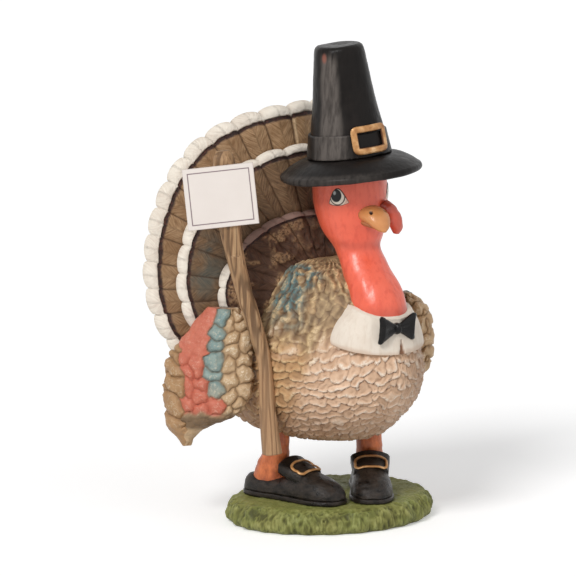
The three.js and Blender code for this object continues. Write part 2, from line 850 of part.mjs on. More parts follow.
function stickPoint(share) {
  const footX = stick.footInside - body.halfWidth;
  const headX = -body.halfWidth - stick.headOutside;
  const x = lerp(footX, headX, tableAt(stickXShares, share));
  const y = lerp(stick.footY, stick.headY, tableAt(stickYShares, share));
  return vec(x, y, lerp(stick.bottom, stick.top, share));
}

function stickBody(grow) {
  const curve = new THREE.CatmullRomCurve3(countTo(12).map(stickPoint));
  const radiusAt = (share) => stick.radius * tableAt(stickRadiusShares, share) + grow;
  return sweep(curve, 16, 8, radiusAt);
}

// The pieces, cut to fit one another and placed in their frames
const rods = [];
const legs = [];
const ground = { solid: baseBody() };
const sides = [
  ["right", -leg.rightSpread, leg.rightSetback, shoe.rightTurn],
  ["left", leg.leftSpread, leg.leftSetback, shoe.leftTurn],
];
for (const [name, spread, setback, turn] of sides) {
  const frame = frameAt(figure, spread, setback, base.height, { z: turn });
  const hole = rodHole(seatGap);
  const upper = shoeUpper(0);
  const grownUpper = shoeUpper(seatGap);
  const grownLeg = legBody(seatGap);
  const flap = cut(shoeTongue(0), grownUpper, grownLeg);
  const grip = grownUpper.add(shoeTongue(seatGap));
  const pieces = [
    ["leg", cut(legBody(0), hole), "legOrange"],
    ["leg_rod", rodHole(0), "steel"],
    ["shoe_sole", cut(shoeSole(), hole), "shoeBlack"],
    ["shoe_upper", cut(upper, grownLeg, hole), "shoeBlack"],
    ["shoe_tongue", flap, "shoeBlack"],
    ["shoe_buckle", shoeBuckleBody(grip), "gold"],
  ];
  for (const [piece, solid, paintName] of pieces) {
    place(`${name}_${piece}`, toWorld(solid, frame), paintName, frame);
  }
  rods.push(toWorld(hole, frame));
  legs.push(toWorld(grownLeg, frame));
}
place("grass_base", cut(ground.solid, ...rods), "grass");

const grownBody = bodyBody(seatGap);
const grownHead = headBody(seatGap);
const grownStick = stickBody(seatGap);
const grownRightWing = wingBody(rightWing, -1, seatGap);
const grownLeftWing = wingBody(leftWing, 1, seatGap);

// The collar's neck hole and chest seat
const neckDowel = (grow) => {
  const [bottom, top] = [neckZ - dowel.below - grow, neckZ + dowel.above + grow];
  return upright(dowel.radius + grow, bottom, top, 0, neckY + dowel.backset);
};
const bowFrame = frameAt(figure, bow.x, neckY - bow.reach, neckZ + bow.rise, { x: bow.tilt });
const collarPiece = cut(collarBody(0), grownBody, grownHead, collarNotch());
place("collar", collarPiece, "white");
const bowPiece = cut(toWorld(bowBody(0), bowFrame), collarBody(seatGap));
place("bow_tie", bowPiece, "shoeBlack", bowFrame);
const knot = ellipsoid(knotSize.halfWidth, knotSize.halfDepth, knotSize.halfHeight);
const knotPiece = cut(toWorld(knot.subtract(bowBody(seatGap)), bowFrame), collarBody(seatGap));
place("bow_knot", knotPiece, "shoeBlack", bowFrame);

// Tail fan
const pegSides = [
  ["right", -1],
  ["left", 1],
];
const tailPeg = (side, grow) => {
  const y = fan.frontY + fanPeg.backset;
  const [bottom, top] = [fanRootZ - fanPeg.below - grow, fanRootZ + fanPeg.above + grow];
  return upright(fanPeg.radius + grow, bottom, top, side * fanPeg.spacing, y);
};
const hatTurns = { x: -hat.back, y: -hat.lean, z: head.turn };
const hatFrame = frameAt(figure, hat.x, headY, headTop + hat.rise, hatTurns);
const grownHat = toWorld(crownBody(seatGap, 0, crown.height), hatFrame);
const grownBrim = toWorld(brimBody(seatGap), hatFrame);
tiers.forEach(({ name }, index) => {
  const solid = cut(
    tierBody(index),
    grownBody,
    grownBrim,
    grownHat,
    grownRightWing,
    grownLeftWing,
    ...pegSides.map(([, side]) => tailPeg(side, seatGap)),
  );
  place(name, solid, "fan");
});
for (const [name, side] of pegSides) place(`${name}_tail_peg`, tailPeg(side, 0), "steel");

// Wings
const wings = [
  ["right", -1, rightWing, wingPeg.rightY, wingPeg.rightZ],
  ["left", 1, leftWing, wingPeg.leftY, wingPeg.leftZ],
];
for (const [name, side, size, y, z] of wings) {
  const peg = wingPegBody(side, y, z, seatGap);
  const solid = cut(wingBody(size, side, 0), grownBody, grownStick, peg);
  place(`${name}_wing`, solid, "feather");
  place(`${name}_wing_peg`, wingPegBody(side, y, z, 0), "steel");
}

// Body
const bodyTools = [
  ...legs,
  ...rods,
  grownHead,
  grownStick,
  neckDowel(seatGap),
  ...pegSides.map(([, side]) => tailPeg(side, seatGap)),
  ...wings.map(([, side, , y, z]) => wingPegBody(side, y, z, seatGap)),
];
place("body", cut(bodyBody(0), ...bodyTools), "feather");

// Head
place("neck_and_head", cut(headBody(0), neckDowel(seatGap)), "skin");
place("neck_dowel", neckDowel(0), "steel");
const headFrame = frameAt(figure, 0, headY, 0, { z: head.turn });
const upperBeak = toWorld(beakBody(0, beak, beak.drop), headFrame);
const grownBeak = toWorld(beakBody(seatGap, beak, beak.drop), headFrame);
const lowerBeakPiece = toWorld(beakBody(0, lowerBeak, lowerBeak.drop), headFrame);
place("upper_beak", cut(upperBeak, grownHead), "beak", headFrame);
place("lower_beak", cut(lowerBeakPiece, grownHead, grownBeak), "beak", headFrame);
place("snood", cut(toWorld(snoodBody(), headFrame), grownHead, grownBeak), "skin", headFrame);
for (const [name, side] of pegSides) {
  const turn = side * eye.angle;
  const reach = head.radius - eye.sunk;
  const [x, y] = [reach * Math.sin(deg(turn)), -reach * Math.cos(deg(turn))];
  const eyeFrame = frameAt(headFrame, x, y, headTop - eye.below, { z: turn });
  const ball = toWorld(ellipsoid(eye.halfWidth, eye.halfDepth, eye.halfHeight), eyeFrame);
  place(`${name}_eye`, cut(ball, grownHead), "eye", eyeFrame);
}

// Hat
place("hat_brim", cut(toWorld(brimBody(0), hatFrame), grownHead), "hat", hatFrame);
const crownPiece = toWorld(crownBody(0, 0, crown.height), hatFrame);
place("hat_crown", cut(crownPiece, grownHead), "hat", hatFrame);
const bandOuter = crownBody(band.thickness + seatGap, seatGap, band.height);
const bandPiece = bandOuter.subtract(crownBody(seatGap, 0, band.height, cutOverrun));
place("hat_band", toWorld(bandPiece, hatFrame), "hat", hatFrame);
place("hat_buckle", toWorld(hatBuckleBody(), hatFrame), "gold", hatFrame);

// Picket sign: the card is glued to the front of the stick
const cardShare = (card.z - stick.bottom) / (stick.top - stick.bottom);
const cardRest = stickPoint(cardShare);
const facing = vec(Math.sin(deg(card.turn)), -Math.cos(deg(card.turn)), 0);
const cardCentre = cardRest.addScaledVector(facing, stick.radius);
const cardFrame = frameAt(figure, cardCentre.x, cardCentre.y, cardCentre.z, { y: card.roll, z: card.turn });
const sheet = box(card.width, card.thickness, card.height, card.shift, 0, 0);
const grownSheet = box(
  card.width + 2 * seatGap,
  card.thickness + 2 * seatGap,
  card.height + 2 * seatGap,
  card.shift,
  0,
  0,
);
place("sign_card", toWorld(sheet, cardFrame), "paper", cardFrame);
const behind = box(2 * card.width, cutOverrun * 3, 2 * card.height, 0, -cutOverrun * 1.5, 0);
const cardCut = toWorld(grownSheet.add(behind), cardFrame);
place("sign_stick", cut(stickBody(0), cardCut), "wood");

export default figure;
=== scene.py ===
# The looks of a painted turkey figure in holiday dress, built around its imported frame.
# Sizes are in millimetres, in the frame of the part, and become metres where a mesh is made.
import itertools
import math

import bmesh
import bpy
import numpy as np
from mathutils import Euler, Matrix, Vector


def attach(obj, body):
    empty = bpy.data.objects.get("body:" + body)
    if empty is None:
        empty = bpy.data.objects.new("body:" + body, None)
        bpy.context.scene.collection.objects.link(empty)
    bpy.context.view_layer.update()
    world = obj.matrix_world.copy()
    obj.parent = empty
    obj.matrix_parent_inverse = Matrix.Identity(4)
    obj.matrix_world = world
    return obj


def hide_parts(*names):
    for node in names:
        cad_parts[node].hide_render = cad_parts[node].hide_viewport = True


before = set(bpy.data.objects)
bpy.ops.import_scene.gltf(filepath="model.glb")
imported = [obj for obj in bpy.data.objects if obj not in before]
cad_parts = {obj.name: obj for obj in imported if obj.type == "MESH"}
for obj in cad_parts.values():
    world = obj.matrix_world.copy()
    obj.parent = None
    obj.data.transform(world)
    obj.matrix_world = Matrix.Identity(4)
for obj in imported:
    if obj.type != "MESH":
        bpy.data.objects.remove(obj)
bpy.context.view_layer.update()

MM = 0.001
NOISE_ROUGHNESS = 0.55
MIDDLE_OF_NOISE = (0.3, 0.7)
SOFT_SQUARE = 0.7

# Sizes, as the part has them
SEAT_GAP = 0.3
BASE = dict(half_width=67, half_depth=53, height=14.8, wobble=0.04, phase=240, tuft=0.012, tufts=24)
BASE_SHARES = [(0, 0.95), (0.16, 0.995), (0.5, 1), (0.85, 0.955), (1, 0.88)]
LEG = dict(radius=7.6, bottom=20, top=64)
FEET = dict(
    right=dict(x=-31, y=13, turn=14),
    left=dict(x=26.5, y=-5, turn=-36),
)
ANKLE = dict(half_width=9, half_length=11.6, shift=4)
ANKLE_SHARES = [(0, 1), (0.16, 1), (0.3, 0.72), (0.5, 0.12), (0.66, 0), (1, 0)]
SHOE = dict(
    toe_reach=50, heel_reach=21, half_width=12.6, instep=18.6, side_power=0.7, top_power=0.8,
    flat_share=0.05,
)
SHOE_WIDTH_SHARES = [
    (0, 0.42), (0.05, 0.72), (0.18, 0.9), (0.4, 0.87), (0.6, 0.95), (0.78, 1), (0.9, 0.84),
    (0.97, 0.54), (1, 0.25),
]
SHOE_HEIGHT_SHARES = [
    (0, 0.5), (0.05, 0.68), (0.2, 0.66), (0.4, 0.68), (0.55, 0.9), (0.64, 1), (0.75, 0.88),
    (0.88, 0.72), (0.96, 0.5), (1, 0.26),
]
SOLE = dict(thickness=3.2, welt=0.9, end_share=0.4)
SOLE_SHARES = [(0.92, 0), (0.985, 0.052), (1, 0.207), (1, 0.793), (0.985, 0.931), (0.93, 1)]
TONGUE = dict(
    half_width=12, foot_y=-26, head_y=-10.5, foot_rise=1.4, head_z=26.5, arch=3, foot_share=0.86,
    rise_power=1.4, edge_drop=0.8, thickness=12, side_thickness=4.5,
)
SHOE_BUCKLE = dict(
    half_width=10.4, near_y=-16.5, far_y=-28, bar=1.8, rise=1.3, corner=0.4, soften=12,
    side_tilt=0.4, tilt=0.3, dark=0.7,
)
BODY = dict(half_width=50, half_length=75, bottom=50, top=160, shift=24)
BODY_WIDTH_SHARES = [
    (0, 0.3), (0.035, 0.62), (0.14, 0.86), (0.25, 0.96), (0.39, 1), (0.52, 0.99), (0.65, 0.9),
    (0.78, 0.78), (0.89, 0.62), (0.97, 0.44), (1, 0.2),
]
BODY_LENGTH_SHARES = [
    (0, 0.36), (0.035, 0.68), (0.14, 0.88), (0.25, 0.97), (0.39, 1), (0.52, 0.92), (0.65, 0.79),
    (0.78, 0.68), (0.89, 0.55), (0.97, 0.4), (1, 0.2),
]
BODY_SHIFT_SHARES = [
    (0, 0.85), (0.14, 0.68), (0.25, 0.48), (0.39, 0.25), (0.52, -0.04), (0.65, -0.25),
    (0.78, -0.35), (0.89, -0.2), (1, 0.1),
]
CHEST_NARROW_SHARES = [(0, 0), (0.4, 0.04), (0.6, 0.26), (0.8, 0.32), (1, 0.2)]
NECK = dict(chest_share=0.5636, setback=19.8)
HEAD = dict(radius=22.6, reach=30, rise=66, turn=-4)
SPINE_SHARES = [
    (0, 0), (0.175, 0.05), (0.263, 0.11), (0.345, 0.27), (0.427, 0.51), (0.497, 0.72),
    (0.59, 0.89), (0.68, 0.94), (0.77, 0.985), (1, 1.02),
]
NECK_RADIUS_SHARES = [
    (0, 0.76), (0.175, 0.755), (0.263, 0.73), (0.345, 0.69), (0.427, 0.64), (0.497, 0.615),
    (0.53, 0.66), (0.59, 0.81), (0.68, 0.95), (0.77, 1), (0.89, 0.98), (0.96, 0.88), (1, 0.74),
]
BEAK = dict(root_y=-16, tip_y=-37.5, half_width=8.8, half_height=5.5, below=32, drop=9.5)
BEAK_SHARES = [(0, 1), (0.45, 0.95), (0.7, 0.78), (0.88, 0.5), (1, 0.18)]
NOSTRIL = dict(x=5.1, y=-30, half_width=1.1, half_length=1.5, depth=0.8)
LOWER_BEAK = dict(root_y=-16, tip_y=-31, half_width=7.2, half_height=3.3, below=37, drop=3)
SNOOD = dict(
    radius=4.6, root_below=28.5, tip_below=46, root_x=10, tip_x=16.5, reach=25, slim=1.7,
    thickest=0.3, end=0.1, shade_from=3, shade_to=2, shade=(0.4, 0.8),
)
SNOOD_PATH_SHARES = [(0, 0.8, 0), (0.55, 1, 0.3), (1, 1, 0.7), (1, 1, 1)]
EYE = dict(
    angle=51.4, below=21.9, sunk=2.5, shown_half_width=6.7, shown_half_height=5.4, mound=0.5,
    edge_proud=0.2, back_sunk=2.5, soften=12,
)
EYE_OUTLINE_SHARES = [
    (-1, -0.85), (-0.78, 0), (-0.6, 0.55), (-0.28, 0.97), (0, 0.98), (0.3, 0.7), (0.6, 0.17),
    (0.82, -0.3), (1, -0.62), (0.6, -0.84), (0.3, -0.97), (-0.15, -1.04), (-0.6, -0.99),
]
PUPIL = dict(s=-1.6, z=0.9, half_width=3.4, half_height=3.95)
WHITE = dict(s=-0.9, z=0.3, half_width=4.7, half_height=5.1)
# A painted highlight in the pupil, where the light glints on the eye
PAINTED_GLINT = dict(s=-2.6, z=2.4, half_width=1, half_height=1.3, strength=0.8)
COLLAR = dict(
    rise=4.5, height=21.5, setback=1.5, top_radius=19.5, dip=5, flare_power=1.7, lip=0.4,
    foot_paint=0.6,
)
COLLAR_FOOT = dict(half_width=31.5, half_length=28, setback=7)
NOTCH = dict(half_width=2, height=9, depth=1.1)
BOW = dict(
    half_span=14, half_height=8.7, half_depth=2.8, x=-3.2, reach=20, rise=15.5, tilt=6,
    blunt_from=0.86, blunt=0.15, dent=0.12, thin_end=0.25, low_end=0.8,
)
FOLD = dict(half_height=2.4, x=5.5, half_width=3.5, depth=0.8)
KNOT = dict(half_width=2.8, half_depth=3.6, half_height=3.6, open=0.03)
BOW_SHARES = [(0, 0.3), (0.25, 0.42), (0.8, 0.95), (1, 1)]
HAT = dict(x=-0.4, rise=0.3, back=5, lean=3.5)
CROWN = dict(radius=24.3, height=67.2, closed=0.999, dish=0.6)
CROWN_SHARES = [
    (0, 1), (0.24, 0.905), (0.39, 0.83), (0.54, 0.765), (0.7, 0.712), (0.85, 0.66),
    (0.93, 0.63), (0.98, 0.59), (1, 0.52),
]
BRIM = dict(radius=43, depth=12.6, hole=14, under_share=0.44, over_share=0.024)
BRIM_SHARES = [
    (0.6, 0.024), (0.72, 0.12), (0.85, 0.34), (0.955, 0.6), (0.99, 0.7), (1, 0.82),
    (0.985, 0.94), (0.94, 0.97), (0.8, 0.74), (0.6, 0.5),
]
BAND = dict(height=14.6, thickness=1.2)
# Marks on the hat: a painted highlight where the key light glints, and a worn spot
HAT_MARKS = dict(
    painted_sheen_turn=-61, brim_painted_sheen=0.35, worn_turn=-70, worn_z=61, worn_tall=1.8, worn=0.6,
)
HAT_BUCKLE = dict(width=25, height=17.2, bar=4.2, thickness=2.2, rise=2.4, corner=0.2, dark=1)
FAN = dict(
    drop=22, front_y=13, sweep=36, nose=20, lean=7, tier_gap=0.4, scallop=0.03, inner=0.22,
    longest=140, uneven=0.014, row_power=1.35, rim_follows=0.45, soft=0.3, ridge_from=0.6,
    rim_foot=0.45, root_shade=0.6, groove_paint=0.7, lump_paint=(0.3, 0.95),
)
FAN_RELIEF = dict(bulge=0.7, line=-0.7, groove=-0.6, ridge=0.4, lump=1.3)
FAN_TEAL = dict(x=-66, half_width=16, z=160, half_height=26)
BARB = dict(width=1.1, length=12, feather=17, side=5)
TIERS = [
    dict(
        node="tail_fan_outer", radius=112, feathers=25, below=26, thickness=6, crown=1.4,
        rim=6.2, line=2.7, shade=0.1,
        shares=[
            (0, 0.85), (0.1, 0.9), (0.24, 0.93), (0.45, 0.975), (0.6, 1.01), (0.75, 1.035), (1, 1.03),
        ],
    ),
    dict(
        node="tail_fan_middle", radius=91, feathers=20, below=26, thickness=4.4, crown=1.2,
        rim=4.6, line=2.4, shade=0.85,
        shares=[(0, 0.9), (0.24, 0.98), (0.6, 1), (1, 1)],
    ),
    dict(
        node="tail_fan_inner", radius=69, feathers=16, below=24, thickness=4.4, crown=1.2,
        rim=2.8, line=1.5, shade=1,
        shares=[(0, 0.92), (0.22, 0.99), (0.5, 0.88), (0.8, 0.78), (1, 0.74)],
    ),
]
WING_FRONT_SHARES = [
    (0, 0.66), (0.06, 0.62), (0.14, 0.48), (0.25, 0.13), (0.37, 0), (0.65, -0.02), (0.83, 0),
    (0.93, 0.05), (1, 0.16),
]
WING_REAR_SHARES = [
    (0, 0.73), (0.06, 0.8), (0.14, 0.9), (0.25, 0.935), (0.37, 0.95), (0.51, 0.925),
    (0.65, 0.87), (0.83, 0.66), (0.93, 0.56), (1, 0.46),
]
WING_THICKNESS_SHARES = [
    (0, 0.2), (0.06, 0.45), (0.14, 0.75), (0.3, 0.98), (0.5, 1), (0.75, 0.95), (0.9, 0.7), (1, 0.3),
]
WINGS = [
    dict(node="right_wing", side=-1, out=5, y=8, bottom=47.5, top=133, length=58, flare=37, tuck=2),
    dict(node="left_wing", side=1, out=7, y=-24, bottom=68, top=134, length=56, flare=4, tuck=12),
]
WING_HALF_THICKNESS = 9
CUSHION = dict(
    sway=0.3, stagger=0.5, drift=0.4, seam=0.55, power=0.6, height=9.4, rear_width=14.4,
    level=0.6, rise=2.9, low_teal=0.75,
)
SMOOTH = dict(plain=0.85, coral=0.2, top_coral=0.7, level=0.8)
WING_BAND_ROWS = [0.4, 0.66, 1]
# The columns of cushions in each band, and where the band ends, by row
WING_BANDS = [(2, (0.25, 0.26, 0.2)), (1, (0.44, 0.457, 0.385)), (2, (0.69, 0.745, 0.66))]
STICK = dict(
    bottom=46, top=231, foot_y=-5, head_y=17, radius=6.9, foot_inside=1.2, head_outside=18.5,
    groove_depth=0.6, groove_dark=0.75, low_groove_dark=0.4,
)
STICK_X_SHARES = [
    (0, 0), (0.16, 0.1), (0.3, 0.19), (0.4, 0.37), (0.47, 0.51), (0.61, 0.77), (0.74, 0.93), (1, 1),
]
STICK_Y_SHARES = [
    (0, 0), (0.16, 0.06), (0.3, 0.1), (0.4, 0.24), (0.47, 0.355), (0.61, 0.595), (0.74, 0.77),
    (1, 1),
]
STICK_RADIUS_SHARES = [
    (0, 0.9), (0.16, 0.72), (0.3, 0.66), (0.5, 0.74), (0.64, 0.78), (0.76, 0.97), (0.86, 1),
    (0.97, 0.95), (1, 0.66),
]
CARD = dict(
    width=43, height=37.5, thickness=1.6, turn=-36, roll=-6, z=205, shift=-4, line_inset=3,
    face_share=0.992, edge_share=0.36,
)

# Relief, paint and marks
GRASS = dict(row_power=0.9, lean=0.25, top=1.05, side_fade=1.5, level=0.7, on_top=0.5, rise=1.8)
FEATHER = dict(
    pitch=6.4, around=43, stagger=0.5, taper=1.9, lobe=0.5, reach=1.2, tip=0.4, crown=0.3,
    dish=0.4, dish_half_width=0.24, dish_at=0.55, dish_half_length=0.22, level=0.5, rise=1.9,
)
LOCKS = dict(around=40, depth=0.66, floor=0.1, feather_share=0.4, lock_share=0.65, light=0.8)
# side is how far the painted shade on the bird's left side, which faces away from the key light, darkens
# the breast
BREAST = dict(
    sunk=1, side_slope=0.25, slope=0.55, y=-26, z=111, pale=0.75, bright=1.2, faint=0.45, side=0.8,
)
BODY_SPOTS = dict(
    pale=[((46, -12, 117), (14, 16, 13))],
    bright=[((25, -2, 151), (13, 20, 10)), ((41, -4, 143), (12, 20, 11))],
    faint=[((38, -8, 131), (13, 20, 13))],
)
JAW = dict(z=173, half_height=3, depth=0.4)
HEAD_SHADE = dict(under_brim=0.35, jaw=0.3, neck_low=0.35)
BEAK_BEND = dict(at=0.6, drop=0.22)
BEAK_SHADE = dict(reach=8, full=4, lower=0.7)

# How finely each piece is drawn, along it and around it
ROWS = dict(
    base_side=36, base_top=60, body=340, wing=260, fan_table=1400, feather=26, tier_bend=10,
    tier_front=90, tier_back=8, neck=160, beak=70, snood=50, eye=70, eye_back=8, collar=70,
    bow=140, knot=50, crown=120, crown_top=24, brim=130, band=80, stick=280, card=42,
    card_back=6, leg=90, sole=90, upper=120, tongue=50,
)
SIDES = dict(
    base=520, body=620, wing=340, neck=150, beak=90, snood=60, eye=180, collar=260, bow=100,
    crown=200, brim=260, bar=28, hat_buckle=260, shoe_buckle=220, stick=110, card=90, leg=90,
    upper=130,
)

# The camera of the photograph, the floor and the light
VIEW = dict(azimuth=-38, elevation=11, distance=6000, right=-25.6, up=138.7, lens=616, clip_end=100)
STAGE = dict(reach=6, drop=0.2, lumps=400, glow=0.3, rough=0.9, ambient=0.36)
SUNS = [
    dict(name="key", strength=1.75, angle=20, azimuth=-66, elevation=41),
    dict(name="fill", strength=0.3, angle=60, azimuth=10, elevation=30),
]

# Lumps in the surfaces: the height of each layer, the size of its lumps and its seed
LUMPS = dict(
    blade=[(0.8, (2, 2, 9), 3)],
    tuft=[(0.6, (5, 5, 11), 4)],
    turf=[(0.15, 9, 5)],
    feather_across=[(0.6, 11, 11), (0.35, 4.5, 16), (0.1, 2, 26)],
    feather_down=[(0.6, 14, 12), (0.5, 6, 13), (0.15, 2.2, 27)],
    shoulder_edge=[(7, 10, 10)],
    lock_across=[(0.9, (10, 10, 13), 19), (0.35, (4, 4, 5), 20)],
    lock_depth=[(0.6, (5, 5, 7), 31)],
    lock_hair=[(0.3, (2.2, 2.2, 4), 32)],
    flesh=[(0.9, 22, 14), (0.35, 7, 17), (0.25, 2.4, 28)],
    front_edge=[(7, 9, 15)],
    pale=[(1, 5, 18)],
    torn=[(1, 4, 29)],
    wing_band=[(1.5, 9, 21), (1.5, 5, 24)],
    cushion_down=[(0.4, 9, 22), (0.22, 4, 26)],
    wing_edge=[(0.025, 5, 23)],
    coral_dent=[(0.35, (3, 3, 4), 28)],
    wing_wrinkle=[(0.35, 3, 25), (0.18, 1.6, 27)],
    rim_edge=[(0.4, 4, 30), (0.2, 1.8, 35)],
    line_edge=[(0.3, 3, 36)],
    fan_lump=[(1, 6, 33), (0.6, 2.6, 34)],
    rim_chip=[(0.25, 2.2, 37)],
    fan_wave=[(0.4, 6, 31)],
    fan_chip=[(0.3, 2.5, 38)],
    fan_root=[(0.12, 14, 32)],
    barb=[(1.6, 8, 39)],
    neck_fold=[(0.6, (6, 6, 18), 41)],
    neck_lump=[(0.5, 13, 42)],
    snood=[(0.6, 4, 51), (0.25, 2, 52)],
    collar=[(0.3, (3.4, 3.4, 22), 61), (0.5, 12, 62)],
    collar_foot=[(0.06, 6, 63)],
    bow=[(0.25, (6, 3, 3), 71)],
    knot=[(0.2, (2, 2, 5), 72)],
    crown=[(0.35, (9, 9, 22), 81), (0.1, 3, 82)],
    brim=[(0.3, 14, 83), (0.1, 4, 84)],
    band=[(0.1, 6, 85)],
    buckle=[(0.12, 3, 86)],
    stick_groove=[(1, (3, 3, 44), 91)],
    stick=[(0.45, (7, 7, 20), 92)],
    leg=[(0.35, (5, 5, 3), 101), (0.3, 6, 102)],
    shoe=[(0.3, 8, 103), (0.2, (3, 3, 2), 104)],
)

# Fades: where each begins and where it is full
FADES = dict(
    grass_foot=(0.6, 2.5),
    feather_lip=(0, 0.2),
    edge_paint=(0.46, 0.12),
    edge_lip=(0, 0.08),
    shoulder=(106, 122),
    lock_top=(0.6, 0.95),
    collar_reach=(39, 33),
    collar_foot=(112, 118),
    collar_top=(146, 140),
    front=(14, -14),
    cream_foot=(48, 60),
    cream_top=(136, 116),
    pale=(-0.4, 0.4),
    torn=(-0.6, 0.1),
    low_body=(90, 56),
    shaded_left_side=(-12, 26),
    below_shoulder=(135, 120),
    spot=(1.2, 0.25),
    wing_under=(0.37, 0.35),
    coral_foot=(0.24, 0.27),
    wing_plain=(0.29, 0.22),
    wing_tip=(0.16, 0.12),
    coral_smooth=(0.58, 0.7),
    teal_bright=(0.42, 0.5),
    groove=(0.9, 0.99),
    upright=(0.3, 0.18),
    ridge_inner=(0.74, 0.82),
    ridge_outer=(0.96, 0.88),
    fan_teal=(1.2, 0.2),
    fan_root=(1, 0.5),
    fan_lump=(0, 0.6),
    fan_side=(-8, -30),
    blush=(150, 172),
    neck_fold=(178, 150),
    neck_lump=(198, 186),
    under_brim=(215, 223),
    jaw_front=(0.3, -0.5),
    neck_low=(142, 134),
    beak_tip=(1.12, 0.9),
    nostril=(1.3, 0.5),
    eye_outline=(0.55, 0.35),
    pupil=(1.04, 0.96),
    ring=(0.09, 0.05),
    corner=(1.1, 1.3),
    painted_glint=(1.2, 0.5),
    notch=(0.3, -0.3),
    collar_lip=(0.92, 1),
    collar_paint=(0.16, 0),
    bow_end=(0.6, 1),
    # The hat's painted highlight
    painted_sheen=(0.9, 0.99),
    painted_sheen_foot=(2, 12),
    painted_sheen_top=(66, 58),
    worn=(2.2, 0.8),
    crown_top=(0.25, 1),
    brim_edge=(39, 41.5),
    brim_painted_sheen=(0.4, 0.9),
    band_painted_sheen=(0.82, 0.97),
    bar_inside=(-0.5, -0.95),
    stick_groove=(0.05, 0.3),
    stick_low=(130, 80),
    tongue_side=(0.9, 1),
    tongue_head=(0.93, 1),
)


# Numbers and grids

def table_at(table, position):
    """Reads a share table smoothly between its rows, as the part does."""
    rows = np.array(table, float)
    position = np.asarray(position, float)
    last = len(rows) - 1
    row = np.clip(np.searchsorted(rows[:, 0], position) - 1, 0, last - 1)
    start, end = rows[row], rows[row + 1]
    before, after = rows[np.maximum(row - 1, 0)], rows[np.minimum(row + 2, last)]
    span = end[..., 0] - start[..., 0]
    t = clamp((position - start[..., 0]) / span)
    slope_in = (end[..., 1] - before[..., 1]) / (end[..., 0] - before[..., 0]) * span
    slope_out = (after[..., 1] - start[..., 1]) / (after[..., 0] - start[..., 0]) * span
    value = (2 * t**3 - 3 * t**2 + 1) * start[..., 1] + (t**3 - 2 * t**2 + t) * slope_in
    return value + (3 * t**2 - 2 * t**3) * end[..., 1] + (t**3 - t**2) * slope_out


def down_rows(size, table, share):
    """A size that a share table changes from row to row of a grid."""
    return (size * table_at(table, share))[:, None]


def clamp(value):
    return np.clip(value, 0, 1)


def lerp(start, end, share):
    return start + (end - start) * share


def shares(count):
    return np.linspace(0, 1, count + 1)


def eased(count):
    return (1 - np.cos(shares(count) * np.pi)) / 2


def turns(count):
    return shares(count)[:-1] * 2 * np.pi


def smooth(low, high, value):
    t = clamp((value - low) / (high - low))
    return t * t * (3 - 2 * t)


def fade(name, value):
    return smooth(*FADES[name], value)


def noise(points, size, seed):
    """Smooth lumps of one size, from -1 to 1, at each point. The size may differ by axis."""
    lattice = np.random.default_rng(seed).uniform(-1, 1, (16, 16, 16))
    cell = points / np.asarray(size, float)
    low = np.floor(cell).astype(int)
    part = cell - low
    part = part * part * (3 - 2 * part)
    total = np.zeros(points.shape[:-1])
    for corner in itertools.product((0, 1), repeat=3):
        weight = np.where(corner, part, 1 - part).prod(-1)
        index = (low + corner) % 16
        total += weight * lattice[index[..., 0], index[..., 1], index[..., 2]]
    return total


def lumps(points, name):
    return sum(height * noise(points, size, seed) for height, size, seed in LUMPS[name])


def scatter(row, column):
    """A steady number from 0 to 1 for each feather."""
    value = np.sin(row * 12.9898 + column * 78.233) * 43758.5453
    return value - np.floor(value)


def grid(x, y, z):
    return np.stack(np.broadcast_arrays(x, y, z), -1).astype(float)


def axes(points):
    return np.moveaxis(points, -1, 0)


def oval(half_width, half_length, angle, z, y=0):
    """Level rings about an upright axis."""
    return grid(half_width * np.cos(angle), y + half_length * np.sin(angle), z)


def squared(value, power):
    """Brings a sine or cosine nearer to a square wave, with a power below 1."""
    return np.sign(value) * np.abs(value) ** power


def normals(points):
    """Unit normals of a grid of points, which point away from its middle."""
    around = np.roll(points, -1, 1) - np.roll(points, 1, 1)
    normal = np.cross(around, np.gradient(points, axis=0))
    normal /= np.maximum(np.linalg.norm(normal, axis=-1, keepdims=True), 1e-9)
    outward = (normal * (points - points.mean((0, 1)))).sum()
    return normal if outward > 0 else -normal


def raised(points, height):
    return points + normals(points) * height[..., None]


def rows_down(points, pitch):
    """How many rows of feathers lie between the top and each point, along the surface."""
    steps = np.linalg.norm(np.diff(points[::-1], axis=0), axis=-1)
    run = np.concatenate([np.zeros((1, points.shape[1])), np.cumsum(steps, axis=0)])
    return run[::-1] / pitch


def heading(degrees):
    """The level direction that a turn about the upright axis gives to the bird's front."""
    turn = math.radians(degrees)
    return np.array([math.sin(turn), -math.cos(turn), 0])


def turn_matrix(x=0, y=0, z=0):
    return np.array(Euler([math.radians(turn) for turn in (x, y, z)], "XYZ").to_matrix())


def turned(points, place, **turns_by_axis):
    return points @ turn_matrix(**turns_by_axis).T + np.array(place, float)


def tube(path, half_width, half_height, sides):
    """Rings along a path in the plane of its rise, which are as wide as half_width across it."""
    tangent = np.gradient(path, axis=0)
    tangent /= np.linalg.norm(tangent, axis=1, keepdims=True)
    along = np.cross(tangent, [1, 0, 0])
    along /= np.linalg.norm(along, axis=1, keepdims=True)
    across = np.cross(along, tangent)
    angle = turns(sides)
    reach = half_width[:, None, None] * across[:, None] * np.cos(angle)[:, None]
    rise = half_height[:, None, None] * along[:, None] * np.sin(angle)[:, None]
    return path[:, None] + reach + rise


def curve_through(corners, count):
    """A smooth path through a few points."""
    tables = [list(zip(shares(len(corners) - 1), values)) for values in zip(*corners)]
    return np.stack([table_at(table, shares(count)) for table in tables], -1)


def softened(loop, times):
    """A closed loop whose points become the mean of their neighbours, a few times over."""
    for _ in range(times):
        loop = (loop + np.roll(loop, 1, 0) + np.roll(loop, -1, 0)) / 3
    return loop


